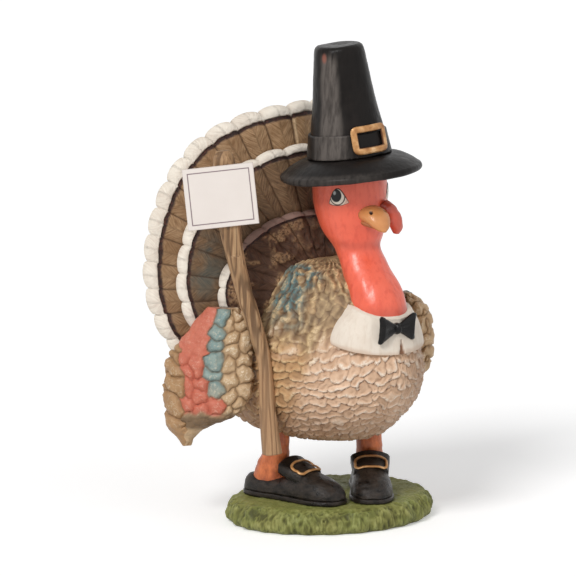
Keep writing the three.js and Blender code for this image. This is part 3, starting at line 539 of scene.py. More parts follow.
# Places that follow from the sizes
CHEST_SHIFT = BODY["shift"] * table_at(BODY_SHIFT_SHARES, NECK["chest_share"])
CHEST_LENGTH = BODY["half_length"] * table_at(BODY_LENGTH_SHARES, NECK["chest_share"])
NECK_Y = float(CHEST_SHIFT - CHEST_LENGTH + NECK["setback"])
NECK_Z = lerp(BODY["bottom"], BODY["top"], NECK["chest_share"])
HEAD_Y = NECK_Y + HEAD["reach"]
HEAD_TOP = BODY["top"] + HEAD["rise"]
COLLAR_FOOT_Y = NECK_Y + COLLAR_FOOT["setback"]
FAN_ROOT_Z = BODY["top"] - FAN["drop"]


# Pieces

def piece(node, slot, points, fields=None, caps=True):
    """Makes one closed mesh of a grid of points and lets it stand for its node."""
    rows, sides = points.shape[:2]
    index = np.arange(rows * sides).reshape(rows, sides)
    following = np.roll(index, -1, 1)
    quads = np.stack([index[:-1], following[:-1], following[1:], index[1:]], -1).reshape(-1, 4)
    vertices = points.reshape(-1, 3)
    faces = quads.tolist()
    fields = fields or {}
    values = {key: np.broadcast_to(value, (rows, sides)).reshape(-1) for key, value in fields.items()}
    if caps:
        for ring, order in ((0, -1), (rows - 1, 1)):
            middle = np.full(sides, len(vertices))
            faces += np.stack([index[ring], following[ring], middle], -1)[:, ::order].tolist()
            vertices = np.vstack([vertices, points[ring].mean(0)])
            start = ring * sides
            values = {key: np.append(v, v[start : start + sides].mean()) for key, v in values.items()}
    first, second, third, fourth = vertices[quads].swapaxes(0, 1)
    if (first * (np.cross(second, third) + np.cross(third, fourth))).sum() < 0:
        faces = [face[::-1] for face in faces]
    name = f"{node}_shown"
    mesh = bpy.data.meshes.new(name)
    mesh.from_pydata((vertices * MM).tolist(), [], faces)
    mesh.update()
    mesh.shade_smooth()
    for key, value in values.items():
        layer = mesh.attributes.new(key, "FLOAT", "POINT")
        layer.data.foreach_set("value", np.ascontiguousarray(value, np.float32))
    mesh.materials.append(PAINTS[slot])
    shown = bpy.data.objects.new(name, mesh)
    bpy.context.scene.collection.objects.link(shown)
    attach(shown, "root")
    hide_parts(node)
    return shown


def ring_piece(node, slot, points, fields):
    """A closed ring: its rows meet again, so it has no caps."""
    doubled = {}
    for key, value in fields.items():
        value = np.broadcast_to(value, points.shape[:2])
        doubled[key] = np.concatenate([value, value[:1]])
    shown = piece(node, slot, np.concatenate([points, points[:1]]), doubled, caps=False)
    work = bmesh.new()
    work.from_mesh(shown.data)
    bmesh.ops.remove_doubles(work, verts=work.verts, dist=1e-7)
    work.to_mesh(shown.data)
    work.free()


# Materials

def ink(tone):
    """A colour as it is seen, in two hex digits each for red, green and blue, in linear light."""
    channels = [int(tone[at : at + 2], 16) / 255 for at in (0, 2, 4)]
    return tuple(c / 12.92 if c <= 0.04045 else ((c + 0.055) / 1.055) ** 2.4 for c in channels) + (1,)


class Paint:
    """A material that is built by short calls, each of which adds a node. Its colour is a base and
    coats over it, and a coat of two tones is mixed by the paint's own grain or by another."""

    def __init__(self, name, size, *base, **grain):
        self.material = bpy.data.materials.new(name)
        self.material.use_nodes = True
        self.tree = self.material.node_tree
        self.shader = self.tree.nodes["Principled BSDF"]
        self.place = self.tree.nodes.new("ShaderNodeTexCoord").outputs["Object"]
        self.grain = self.lumps(size, **grain)
        self.colour = self.mix(self.grain, *base) if base else None

    def add(self, kind, plugs, out=0, **settings):
        node = self.tree.nodes.new("ShaderNode" + kind)
        for key, value in settings.items():
            setattr(node, key, value)
        for key, value in plugs.items():
            self.plug(node.inputs[key], value)
        return node.outputs[out]

    def plug(self, socket, value):
        if isinstance(value, bpy.types.NodeSocket):
            self.tree.links.new(value, socket)
        else:
            socket.default_value = ink(value) if isinstance(value, str) else value

    def field(self, name, share=1):
        field = self.add("Attribute", {}, "Fac", attribute_name=name)
        return field if share == 1 else self.times(field, share)

    def lumps(self, size, stretch=(1, 1, 1), detail=3, warp=0):
        """Noise of one size in millimetres, 0 to 1."""
        scale = tuple(1 / (MM * size * axis) for axis in stretch)
        spot = self.add("VectorMath", {0: self.place, 1: scale}, operation="MULTIPLY")
        plugs = {"Vector": spot, "Scale": 1, "Detail": detail, "Roughness": NOISE_ROUGHNESS}
        return self.add("TexNoise", {**plugs, "Distortion": warp})

    def level(self, value, low, high, start=0, end=1):
        return self.add("MapRange", {0: value, 1: low, 2: high, 3: start, 4: end})

    def varied(self, grain, low, high):
        return self.level(grain, *MIDDLE_OF_NOISE, low, high)

    def math(self, operation, *values):
        return self.add("Math", dict(enumerate(values)), operation=operation)

    def times(self, *values):
        total = values[0]
        for value in values[1:]:
            total = self.math("MULTIPLY", total, value)
        return total

    def mix(self, share, start, end):
        return self.add("Mix", {0: share, 6: start, 7: end}, 2, data_type="RGBA")

    def coat(self, share, tone, light=None, by=None):
        if light:
            tone = self.mix(by or self.grain, tone, light)
        self.colour = self.mix(share, self.colour, tone)

    def ramp(self, value, *stops):
        node = self.tree.nodes.new("ShaderNodeValToRGB")
        self.plug(node.inputs[0], value)
        steps = node.color_ramp.elements
        while len(steps) < len(stops):
            steps.new(0.5)
        for step, (spot, tone) in zip(steps, stops):
            step.position = spot
            step.color = ink(tone)
        return node.outputs[0]

    def done(self, rough, *bumps, **sockets):
        """Ends the paint with its roughness, its bumps, each of a grain and a depth, and the rest."""
        self.plug(self.shader.inputs["Base Color"], self.colour)
        self.plug(self.shader.inputs["Roughness"], rough)
        below = {}
        for grain, depth in bumps:
            normal = self.add("Bump", {"Height": grain, "Distance": depth * MM, "Strength": 1, **below})
            below = {"Normal": normal}
            self.plug(self.shader.inputs["Normal"], normal)
        for key, value in sockets.items():
            self.plug(self.shader.inputs[key.replace("_", " ")], value)
        return self.material


def grass_paint():
    paint = Paint("grass_green", 15, "42441e", "58562a")
    high = paint.field("high")
    blades = paint.lumps(1.5, (1, 1, 6), 4)
    paint.coat(paint.level(high, 0.1, 0.55), "647032", "8c864c")
    dry = paint.times(paint.level(high, 0.5, 0.95), paint.level(blades, 0.42, 0.62))
    paint.coat(dry, "8a9654", "aca66c")
    paint.coat(paint.times(paint.level(blades, 0.46, 0.34), paint.field("side", 0.6)), "3a3e1e")
    return paint.done(paint.varied(paint.grain, 0.5, 0.7), (blades, 0.5), Specular_IOR_Level=0.3)


def breast_paint():
    paint = Paint("breast_feathers", 13, "ac845a", "d8ac7c")
    cream = paint.field("cream")
    fine = paint.lumps(1.5, detail=5, warp=0.6)
    paint.coat(cream, "d8b292", "f0ceb0")
    paint.coat(paint.field("shoulder", 0.75), "7c6c4e", "bea682", fine)
    paint.coat(paint.field("single", 0.3), "b0845e")
    teal = paint.times(paint.field("teal"), paint.level(fine, 0.3, 0.46))
    paint.coat(teal, "245462", "809e98", fine)
    wash = paint.level(paint.field("high"), 0.05, 0.62, 0.95, 0)
    paint.coat(wash, "543820", "80563a", cream)
    brush = paint.times(paint.field("edge"), paint.level(fine, 0.34, 0.54))
    paint.coat(brush, "e4c696", "fceedc", cream)
    # Darker towards the bottom, and painted shade on the bird's left side, away from the key light
    paint.coat(paint.field("low", 0.55), "8c684c")
    return paint.done(paint.varied(fine, 0.42, 0.62), (fine, 0.4), Specular_IOR_Level=0.35)


def wing_paint():
    paint = Paint("wing_feathers", 6, "b2906a", "d6b892")
    high = paint.field("high")
    coral = paint.field("coral")
    fine = paint.lumps(2.4, detail=5, warp=1.6)
    paint.coat(paint.field("rear"), "926c46", "c0986c")
    paint.coat(paint.field("teal"), "547a80", "a8b4a8")
    paint.coat(coral, "ba5c46", "d88066")
    paint.coat(paint.field("shade", 0.85), "624a30")
    paint.coat(paint.level(high, 0.05, 0.6, 0.7, 0), "785838", "ac5440", coral)
    dry = paint.times(paint.level(high, 0.6, 0.95), paint.level(fine, 0.51, 0.66))
    dry = paint.times(dry, paint.field("bare", 0.8))
    paint.coat(dry, "eedec2", "f0c0ac", coral)
    return paint.done(paint.varied(fine, 0.32, 0.52), (fine, 0.6), Specular_IOR_Level=0.4)


def fan_paint():
    paint = Paint("fan_brown", 14)
    spot = paint.add("CombineXYZ", {0: paint.field("barb"), 1: paint.field("along")})
    streaks = paint.add("TexNoise", {"Vector": spot, "Scale": 1, "Detail": 4, "Roughness": 0.65})
    patches = paint.grain
    fine = paint.lumps(1.5)
    paint.grain = paint.level(streaks, *MIDDLE_OF_NOISE)
    paint.colour = paint.mix(paint.grain, "7e5a38", "ceaa82")
    paint.coat(paint.level(patches, 0.4, 0.65, 0, 0.6), "8a6440")
    paint.coat(paint.field("shade"), "402d1f", "886a4c")
    paint.coat(paint.field("umber"), "362218", "6a4a36")
    paint.coat(paint.times(paint.field("teal", 0.45), paint.level(patches, 0.4, 0.6)), "38585a")
    paint.coat(paint.times(paint.field("lump"), paint.level(fine, 0.36, 0.56)), "a88460")
    paint.coat(paint.field("groove"), "462e1e")
    paint.coat(paint.times(paint.field("ridge"), paint.level(fine, 0.2, 0.5)), "d6b892")
    paint.coat(paint.field("line"), "2c1c17", "563228", paint.level(fine, 0.45, 0.7))
    worn = paint.times(paint.grain, paint.level(patches, 0.3, 0.6))
    white = paint.mix(worn, "fcf3e4", "decebe")
    paint.coat(paint.field("rim"), paint.mix(paint.field("blush"), white, "96786c"))
    rough = paint.varied(streaks, 0.46, 0.66)
    return paint.done(rough, (fine, 0.25), (streaks, 0.6), Specular_IOR_Level=0.3)


def skin_paint():
    paint = Paint("skin_red", 18, "e85a3e", "fc7254")
    fine = paint.lumps(3, (1, 1, 2), 4)
    paint.coat(paint.level(fine, 0.48, 0.72, 0, 0.5), "d44632")
    paint.coat(paint.field("shade"), "963428")
    return paint.done(paint.varied(fine, 0.3, 0.46), (fine, 0.5), Coat_Weight=0.3, Coat_Roughness=0.2)


def plain_paint(name, dark, light, size, roughness, depth, stretch=(1, 1, 1), **sockets):
    """Two tones in lumps, a varied gloss and a shallow bump."""
    paint = Paint(name, size, stretch=stretch, detail=4)
    fine = paint.lumps(size / 5, stretch)
    paint.colour = paint.mix(paint.level(paint.grain, 0.35, 0.65), dark, light)
    rough = paint.varied(paint.grain, roughness, roughness + 0.16)
    return paint.done(rough, (fine, depth), **sockets)


def gold_paint():
    paint = Paint("antique_gold", 5)
    stops = (0.3, "a06c3e"), (0.5, "c4905a"), (0.7, "e4b886")
    paint.colour = paint.ramp(paint.grain, *stops)
    paint.coat(paint.field("inner"), "5c361c")
    return paint.done(paint.varied(paint.grain, 0.42, 0.28), (paint.grain, 0.2), Metallic=0.3)


def hat_paint():
    paint = Paint("hat_black", 2.6, "100d0c", "201c1a", stretch=(1, 1, 7), detail=4)
    streaks = paint.grain
    paint.coat(paint.level(paint.lumps(14), 0.5, 0.8, 0, 0.4), "2c2623")
    # A painted highlight: lighter grey streaks where the key light glints on the hat
    paint.coat(paint.times(paint.field("painted_sheen"), paint.level(streaks, 0.2, 0.6)), "645d58")
    paint.coat(paint.field("worn"), "a06050")
    return paint.done(paint.varied(streaks, 0.28, 0.46), (streaks, 0.25), Specular_IOR_Level=0.12)


def eye_paint():
    paint = Paint("eye_gloss", 3, "f2e2ce", "faf0e2")
    paint.coat(paint.field("corner"), "e8baa4")
    paint.coat(paint.field("ring"), "54382e")
    # The pupil, with a painted highlight where the light glints
    paint.coat(paint.field("pupil"), "1a1818", "ced0ce", paint.field("painted_glint"))
    paint.coat(paint.field("outline"), "34201a")
    rough = paint.varied(paint.lumps(2), 0.14, 0.24)
    return paint.done(rough, Specular_IOR_Level=0.2, Coat_Weight=0.15, Coat_Roughness=0.1)


def beak_paint():
    paint = Paint("beak_tan", 3, "ce8248", "e29e62", stretch=(1, 3, 1), detail=4)
    paint.coat(paint.field("shade"), "965230")
    paint.coat(paint.field("nostril"), "281a14")
    return paint.done(paint.varied(paint.grain, 0.34, 0.5), (paint.grain, 0.2), Coat_Weight=0.15)


def wood_paint():
    paint = Paint("stick_wood", 1.5, stretch=(1, 1, 16), detail=4, warp=0.4)
    stops = (0.3, "7c5e42"), (0.5, "aa8662"), (0.72, "c4a27c")
    paint.colour = paint.ramp(paint.grain, *stops)
    paint.coat(paint.level(paint.lumps(7, (1, 1, 6)), 0.45, 0.7, 0, 0.5), "927252")
    paint.coat(paint.field("low", 0.5), "ba926e")
    paint.coat(paint.field("groove"), "5c4430")
    return paint.done(paint.varied(paint.grain, 0.5, 0.7), (paint.grain, 0.3), Specular_IOR_Level=0.3)


def card_paint():
    paint = Paint("card_paper", 15, "ece2da", "f4ebe4")
    fibres = paint.lumps(1.4, detail=4)
    inset = paint.field("inset")
    off = paint.math("ABSOLUTE", paint.math("SUBTRACT", inset, CARD["line_inset"]))
    line = paint.times(paint.level(off, 0.22, 0.42, 1, 0), paint.field("face"))
    paint.coat(line, "7e6c70", "988486", fibres)
    paint.coat(paint.level(inset, 0, 0.5, 0.35, 0), "beaca0")
    return paint.done(paint.varied(fibres, 0.65, 0.8), (fibres, 0.06), Specular_IOR_Level=0.2)


def collar_paint():
    paint = Paint("collar_white", 8, "e2d2c0", "f2e8da")
    ribs = paint.lumps(2, (1, 1, 6))
    paint.coat(paint.level(ribs, 0.5, 0.75, 0, 0.35), "d0bca6")
    paint.coat(paint.field("foot"), "ccae94")
    paint.coat(paint.field("gap"), "8a6248")
    return paint.done(paint.varied(paint.grain, 0.48, 0.64), (ribs, 0.25), Specular_IOR_Level=0.35)


PAINTS = dict(
    grass_green=grass_paint(),
    breast_feathers=breast_paint(),
    wing_feathers=wing_paint(),
    fan_brown=fan_paint(),
    skin_red=skin_paint(),
    beak_tan=beak_paint(),
    eye_gloss=eye_paint(),
    hat_black=hat_paint(),
    antique_gold=gold_paint(),
    stick_wood=wood_paint(),
    card_paper=card_paint(),
    collar_white=collar_paint(),
    steel=plain_paint("steel", "787a7c", "96989a", 3, 0.3, 0.05, Metallic=1),
    leg_orange=plain_paint("leg_orange", "a45028", "e4804a", 5, 0.34, 0.4, (1, 1, 2)),
    shoe_black=plain_paint(
        "shoe_black", "16120f", "362e28", 5, 0.26, 0.4, (1, 1, 0.5), Specular_IOR_Level=0.25,
    ),
    bow_black=plain_paint("bow_black", "080606", "120f0e", 4, 0.14, 0.2, Specular_IOR_Level=0.22),
)


# The grass base

def make_base():
    angle = turns(SIDES["base"])
    wave = np.sin(2 * angle + math.radians(BASE["phase"])) + np.sin(3 * angle) / 3
    reach = 1 + BASE["wobble"] * wave / 2 + BASE["tuft"] * np.cos(BASE["tufts"] * angle)
    side = shares(ROWS["base_side"])
    top_share = BASE_SHARES[-1][1] * (1 - shares(ROWS["base_top"])[1:]) ** GRASS["row_power"]
    share = np.concatenate([table_at(BASE_SHARES, side), top_share])[:, None]
    z = BASE["height"] * np.concatenate([side, np.ones(len(top_share))])[:, None]
    points = oval(BASE["half_width"] * reach * share, BASE["half_depth"] * reach * share, angle, z)
    leaning = points + points[..., 2:] * [GRASS["lean"], GRASS["lean"], 0]
    high = GRASS["top"] - np.abs(lumps(leaning, "tuft")) - np.abs(lumps(leaning, "blade"))
    high = clamp(high + lumps(points, "turf"))
    on_side = smooth(BASE["height"], BASE["height"] - GRASS["side_fade"], points[..., 2])
    high = lerp(lerp(GRASS["level"], high, GRASS["on_top"]), high, on_side)
    rise = (high - GRASS["level"]) * GRASS["rise"] * fade("grass_foot", points[..., 2])
    points = raised(points, rise)
    points[..., 2] = np.maximum(points[..., 2], 0)
    piece("grass_base", "grass_green", points, dict(high=high, side=on_side))


# The body and its feathers

def feather_relief(across, down):
    """Short overlapping feathers, tips down, with a raised tip and a dished middle: how high each
    point is, how near a tip's edge, and a steady number of its feather."""
    row = np.floor(down)

    def tip_of(row):
        offset = across - FEATHER["stagger"] * (row % 2)
        side = offset - np.floor(offset) - 0.5
        dip = 1 - np.sqrt(np.maximum(1 - (FEATHER["taper"] * side) ** 2, 0))
        return row + 1 - FEATHER["lobe"] * dip, side, np.floor(offset)

    row = np.where(down > tip_of(row)[0], row + 1, row)
    tip, side, column = tip_of(row)
    depth = tip - down
    round_side = 1 - np.abs(2 * side) ** 4
    dish = (side / FEATHER["dish_half_width"]) ** 2
    dish = dish + ((depth - FEATHER["dish_at"]) / FEATHER["dish_half_length"]) ** 2
    high = clamp(1 - depth / FEATHER["reach"]) * lerp(FEATHER["tip"], 1, round_side)
    high = high + FEATHER["crown"] * round_side - FEATHER["dish"] * np.exp(-dish)
    edge = fade("edge_paint", depth) * fade("edge_lip", depth) * round_side
    return clamp(high * fade("feather_lip", depth)), clamp(edge), scatter(row, column)


def near_spots(points, name):
    """From 1 at a spot to 0 at its reach, on both sides of the figure."""
    total = 0
    for spot, reach in BODY_SPOTS[name]:
        out = (points * [0, 1, 1] + np.abs(points) * [1, 0, 0] - spot) / reach
        total = total + fade("spot", (out**2).sum(-1))
    return total


def make_body():
    step = eased(ROWS["body"])
    half_width = down_rows(BODY["half_width"], BODY_WIDTH_SHARES, step)
    half_length = down_rows(BODY["half_length"], BODY_LENGTH_SHARES, step)
    narrow = down_rows(1, CHEST_NARROW_SHARES, step)
    angle = turns(SIDES["body"])
    half_width = half_width * (1 - narrow * np.maximum(-np.sin(angle), 0))
    z = lerp(BODY["bottom"], BODY["top"], step)[:, None]
    points = oval(half_width, half_length, angle, z, down_rows(BODY["shift"], BODY_SHIFT_SHARES, step))
    x, y, z = axes(points)
    around = np.broadcast_to(angle / (2 * np.pi), z.shape)
    across = around * FEATHER["around"] + lumps(points, "feather_across")
    down = rows_down(points, FEATHER["pitch"]) + lumps(points, "feather_down")
    high, edge, single = feather_relief(across, down)
    shoulder = fade("shoulder", z + lumps(points, "shoulder_edge"))
    phase = around * LOCKS["around"] + lumps(points, "lock_across")
    locks = (1 + np.cos(2 * np.pi * phase)) / 2 * (LOCKS["depth"] + lumps(points, "lock_depth"))
    locks = clamp(locks + lumps(points, "lock_hair") + LOCKS["floor"])
    mixed = clamp(LOCKS["feather_share"] * high + LOCKS["lock_share"] * locks)
    high = lerp(high, mixed, shoulder)
    edge = lerp(edge, LOCKS["light"] * fade("lock_top", high), shoulder)
    height = (high - FEATHER["level"]) * FEATHER["rise"] + lumps(points, "flesh")
    under_collar = fade("collar_reach", np.hypot(x, y - COLLAR_FOOT_Y))
    under_collar = under_collar * fade("collar_foot", z) * fade("collar_top", z)
    height = lerp(height, -BREAST["sunk"], under_collar)
    slant = BREAST["side_slope"] * np.abs(x) + BREAST["slope"] * (z - BREAST["z"])
    front = fade("front", y - BREAST["y"] + slant + lumps(points, "front_edge"))
    cream = front * fade("cream_foot", z) * fade("cream_top", z)
    pale = near_spots(points, "pale") * fade("pale", lumps(points, "pale"))
    teal = BREAST["bright"] * near_spots(points, "bright") + BREAST["faint"] * near_spots(points, "faint")
    # Painted shade on the bird's left side, which faces away from the key light
    side = fade("shaded_left_side", x) * fade("below_shoulder", z)
    fields = dict(
        high=high,
        edge=edge,
        single=single,
        cream=clamp(cream + BREAST["pale"] * pale),
        teal=clamp(teal * fade("torn", lumps(points, "torn"))),
        shoulder=shoulder * (1 - cream),
        low=np.maximum(fade("low_body", z), BREAST["side"] * side),
    )
    piece("body", "breast_feathers", raised(points, height), fields)


# The wings

def cushions(across, down):
    """Cushions on a loose lattice: how high each point is, and the column of its cushion."""
    column, row = np.floor(across), np.floor(down)
    near = np.full(across.shape, np.inf)
    second = near
    owner = column
    for aside, below in itertools.product((-1, 0, 1), (-2, -1, 0, 1)):
        i, j = column + aside, row + below
        middle_across = i + 0.5 + CUSHION["sway"] * (scatter(i, j) - 0.5)
        middle_down = j + 0.5 + CUSHION["stagger"] * (i % 2) + CUSHION["drift"] * (scatter(j, i + 3) - 0.5)
        away = np.hypot(across - middle_across, down - middle_down)
        second = np.minimum(second, np.maximum(near, away))
        owner = np.where(away < near, i, owner)
        near = np.minimum(near, away)
    return clamp((second - near) / CUSHION["seam"]) ** CUSHION["power"], owner


def make_wing(wing):
    step = eased(ROWS["wing"])
    out = heading(wing["side"] * (90 - wing["flare"]))
    along = heading(wing["side"] * (180 - wing["flare"]))
    front = down_rows(wing["length"], WING_FRONT_SHARES, step)
    rear = down_rows(wing["length"], WING_REAR_SHARES, step)
    full = down_rows(1, WING_THICKNESS_SHARES, step)
    angle = turns(SIDES["wing"])
    reach = (front + rear) / 2 + (rear - front) / 2 * np.sin(angle)
    push = WING_HALF_THICKNESS * full * np.cos(angle) - wing["tuck"] * (1 - full)
    centre = np.array([wing["side"] * (BODY["half_width"] + wing["out"]), wing["y"], 0])
    points = centre + reach[..., None] * along + push[..., None] * out
    points[..., 2] += lerp(wing["bottom"], wing["top"], step)[:, None]
    spot = reach + lumps(points, "wing_band")
    start, first, across = front, 0, np.zeros_like(spot)
    for columns, ends in WING_BANDS:
        end = wing["length"] * np.interp(step, WING_BAND_ROWS, ends)[:, None]
        inside = first + columns * (spot - start) / np.maximum(end - start, 1)
        across = np.where((spot >= start) | (first == 0), inside, across)
        start, first = end, first + columns
    across = np.where(spot >= start, first + (spot - start) / CUSHION["rear_width"], across)
    down = rows_down(points, CUSHION["height"]) + lumps(points, "cushion_down")
    high, column = cushions(across, down)
    teal_from, coral_from, rear_from = np.cumsum([columns for columns, _ in WING_BANDS])
    painted = step[:, None] + lumps(points, "wing_edge")
    in_teal = (column >= teal_from) * (column < coral_from)
    in_coral = (column >= coral_from) * (column < rear_from)
    in_rear = (column >= rear_from) * 1.0
    under = fade("wing_under", painted)
    coral = np.maximum(in_coral, in_teal * under) * fade("coral_foot", painted)
    teal = in_teal * (1 - under)
    plain = fade("wing_plain", painted) * (1 - in_rear)
    tip = fade("wing_tip", step)[:, None]
    flat = tip + SMOOTH["plain"] * plain
    flat = flat + coral * (SMOOTH["coral"] + SMOOTH["top_coral"] * fade("coral_smooth", painted))
    high = lerp(high, SMOOTH["level"], clamp(flat))
    coloured = np.maximum(np.maximum(teal, coral), in_rear)
    fields = dict(
        high=high + coral * np.minimum(lumps(points, "coral_dent"), 0),
        coral=coral,
        teal=teal * lerp(CUSHION["low_teal"], 1, fade("teal_bright", painted)),
        rear=in_rear,
        shade=plain * (1 - tip),
        bare=(1 - coloured / 2) * (1 - plain) * (1 - tip),
    )
    rise = (high - CUSHION["level"]) * CUSHION["rise"] + lumps(points, "wing_wrinkle")
    piece(wing["node"], "wing_feathers", raised(points, rise), fields)


# The tail fan

FAN_SLOPE = math.tan(math.radians(FAN["sweep"]))


def fan_across(length):
    """How far out a length along the swept surface reaches."""
    fine = np.linspace(0, FAN["longest"], ROWS["fan_table"] + 1)
    out = np.zeros_like(fine)
    for index in range(1, len(fine)):
        x = out[index - 1]
        slope = FAN_SLOPE * x / math.hypot(x, FAN["nose"])
        out[index] = x + (fine[index] - fine[index - 1]) / math.hypot(1, slope)
    return np.sign(length) * np.interp(np.abs(length), fine, out)


def fan_points(angle, reach, depth):
    x = fan_across(reach * np.cos(angle))
    rise = reach * np.sin(angle)
    back = FAN_SLOPE * (np.hypot(x, FAN["nose"]) - FAN["nose"])
    lean = math.radians(FAN["lean"])
    y = FAN["front_y"] + back + rise * math.sin(lean) + depth
    return grid(x, y, FAN_ROOT_Z + rise * math.cos(lean))


def make_tier(index):
    tier = TIERS[index]
    outer, middle, inner = (index == place for place in range(len(TIERS)))
    radius = tier["thickness"] / 2
    nearer = zip(TIERS[:index], TIERS[1:])
    front = -sum(this["crown"] + FAN["tier_gap"] + following["thickness"] for this, following in nearer)
    u = shares(tier["feathers"] * ROWS["feather"])[:, None]
    angle = np.radians(lerp(-tier["below"], 180 + tier["below"], u))
    in_feather = 2 * ((u * tier["feathers"]) % 1) - 1
    in_feather[-1] = 1
    from_quill = np.abs(in_feather)
    number = np.minimum(np.floor(u * tier["feathers"]), tier["feathers"] - 1)
    own = scatter(number, index + 3)
    rounding = np.sqrt(np.maximum(1 - in_feather**2, 0))
    smooth_edge = tier["radius"] * table_at(tier["shares"], 1 - np.abs(2 * u - 1))
    smooth_edge = smooth_edge * (1 + FAN["uneven"] * (own - 0.5))
    edge = smooth_edge * (1 - FAN["scallop"] * (1 - rounding))
    bend = shares(ROWS["tier_bend"])[1:-1] * np.pi
    front_v = 1 - (1 - shares(ROWS["tier_front"])) ** FAN["row_power"]
    back_v = shares(ROWS["tier_back"])[::-1]
    v = np.concatenate([front_v, np.ones(len(bend)), back_v])[None]
    bent = np.concatenate([np.zeros(len(front_v)), bend, np.full(len(back_v), np.pi)])[None]
    on_front = (1 + np.cos(bent)) / 2
    reach = lerp(edge * FAN["inner"], edge - radius, v) + radius * np.sin(bent)
    flat = fan_points(angle, reach, np.full_like(reach, front))
    from_arc = lerp(smooth_edge, edge, FAN["rim_follows"]) - reach + lumps(flat, "rim_edge")

    def within(width):
        return smooth(width + FAN["soft"], width - FAN["soft"], from_arc)

    rim = within(tier["rim"])
    line = (1 - rim) * within(tier["rim"] + tier["line"] + lumps(flat, "line_edge"))
    open_part = (1 - rim) * (1 - line)
    bulge = np.sqrt(clamp(1 - (2 * (edge - reach) / tier["rim"] - 1) ** 2))
    ridged = outer * (own > FAN["ridge_from"]) * fade("upright", np.abs(u - 0.5)) * open_part
    forms = dict(
        bulge=rim * bulge * lerp(FAN["rim_foot"], 1, rounding),
        line=line,
        groove=fade("groove", from_quill) * open_part,
        ridge=fade("ridge_inner", in_feather) * fade("ridge_outer", in_feather) * ridged,
        lump=np.clip(lumps(flat, "fan_lump"), -1, 1) * open_part * inner,
    )
    relief = tier["crown"] * (1 - in_feather**2) * np.sqrt(v) + lumps(flat, "rim_chip") * rim
    relief = relief + sum(FAN_RELIEF[name] * form for name, form in forms.items())
    points = fan_points(angle, reach, front - relief * on_front + radius * (1 - np.cos(bent)))
    waves = lumps(points, "fan_wave") + lumps(points, "fan_chip") * open_part
    points[..., 1] += waves * on_front
    x, _, z = axes(points)
    teal = ((x - FAN_TEAL["x"]) / FAN_TEAL["half_width"]) ** 2
    teal = teal + ((z - FAN_TEAL["z"]) / FAN_TEAL["half_height"]) ** 2
    root = fade("fan_root", reach / tier["radius"] + lumps(points, "fan_root"))
    off_quill = from_quill * np.pi * tier["radius"] / tier["feathers"] / 2
    aside = BARB["feather"] * number + BARB["side"] * np.sign(in_feather)
    fields = dict(
        barb=(reach + lumps(flat, "barb")) / BARB["width"] - off_quill,
        along=(reach + off_quill) / BARB["length"] + aside,
        rim=rim,
        line=line * on_front,
        groove=forms["groove"] * on_front * FAN["groove_paint"],
        ridge=forms["ridge"] * on_front,
        teal=fade("fan_teal", teal) * middle * open_part,
        shade=clamp(lerp(tier["shade"], 1, FAN["root_shade"] * root)) * on_front,
        umber=inner * on_front,
        lump=fade("fan_lump", forms["lump"]) * lerp(*FAN["lump_paint"], fade("fan_side", x)),
        blush=fade("blush", z) * inner,
    )
    piece(tier["node"], "fan_brown", points, fields)


# The neck and head, with the beak, the snood and the eyes

def in_head(points):
    return turned(points, (0, HEAD_Y, 0), z=HEAD["turn"])


def head_radius(z):
    return HEAD["radius"] * table_at(NECK_RADIUS_SHARES, (z - NECK_Z) / (HEAD_TOP - NECK_Z))


def make_head():
    share = shares(ROWS["neck"])[:, None]
    angle = turns(SIDES["neck"])
    z = lerp(NECK_Z, HEAD_TOP, share)
    radius = head_radius(z)
    points = oval(radius, radius, angle, z, lerp(NECK_Y, HEAD_Y, table_at(SPINE_SHARES, share)))
    folds = lumps(points, "neck_fold") * fade("neck_fold", z)
    folds = folds + lumps(points, "neck_lump") * fade("neck_lump", z)
    jaw = np.exp(-(((z - JAW["z"]) / JAW["half_height"]) ** 2)) * fade("jaw_front", np.sin(angle))
    shades = dict(under_brim=fade("under_brim", z), jaw=jaw, neck_low=fade("neck_low", z))
    shade = clamp(sum(HEAD_SHADE[name] * form for name, form in shades.items()))
    piece("neck_and_head", "skin_red", raised(points, folds - JAW["depth"] * jaw), dict(shade=shade))


def make_beak(node, size, nostrils):
    share = shares(ROWS["beak"])
    z = HEAD_TOP - size["below"]
    middle_y = lerp(size["root_y"], size["tip_y"], BEAK_BEND["at"])
    path = curve_through([
        (0, size["root_y"], z),
        (0, middle_y, z - size["drop"] * BEAK_BEND["drop"]),
        (0, size["tip_y"], z - size["drop"]),
    ], ROWS["beak"])
    half_width = size["half_width"] * table_at(BEAK_SHARES, share) * np.sqrt(fade("beak_tip", share))
    points = tube(path, half_width, half_width * size["half_height"] / size["half_width"], SIDES["beak"])
    x, y, z = axes(points)
    away = ((np.abs(x) - NOSTRIL["x"]) / NOSTRIL["half_width"]) ** 2
    away = away + ((y - NOSTRIL["y"]) / NOSTRIL["half_length"]) ** 2
    nostril = fade("nostril", away) * (z > path[:, None, 2]) * nostrils
    root = smooth(size["root_y"] - BEAK_SHADE["reach"], size["root_y"] - BEAK_SHADE["full"], y)
    shade = np.maximum(root, BEAK_SHADE["lower"] * (1 - nostrils))
    points = raised(points, -NOSTRIL["depth"] * nostril)
    piece(node, "beak_tan", in_head(points), dict(nostril=nostril, shade=shade))


def make_snood():
    share = shares(ROWS["snood"])
    root = np.array([SNOOD["root_x"], 0, HEAD_TOP - SNOOD["root_below"]])
    tip = [SNOOD["tip_x"], -SNOOD["reach"], HEAD_TOP - SNOOD["tip_below"]]
    path = curve_through(lerp(root, tip, np.array(SNOOD_PATH_SHARES)), ROWS["snood"])
    slim = SNOOD["slim"] * (share - SNOOD["thickest"]) ** 2
    radius = SNOOD["radius"] * np.sqrt(np.maximum(1 - slim, SNOOD["end"]))
    points = tube(path, radius, radius, SIDES["snood"])
    points = raised(points, lumps(points, "snood"))
    beside = smooth(root[0] + SNOOD["shade_from"], root[0] - SNOOD["shade_to"], points[..., 0])
    piece("snood", "skin_red", in_head(points), dict(shade=lerp(*SNOOD["shade"], beside)))


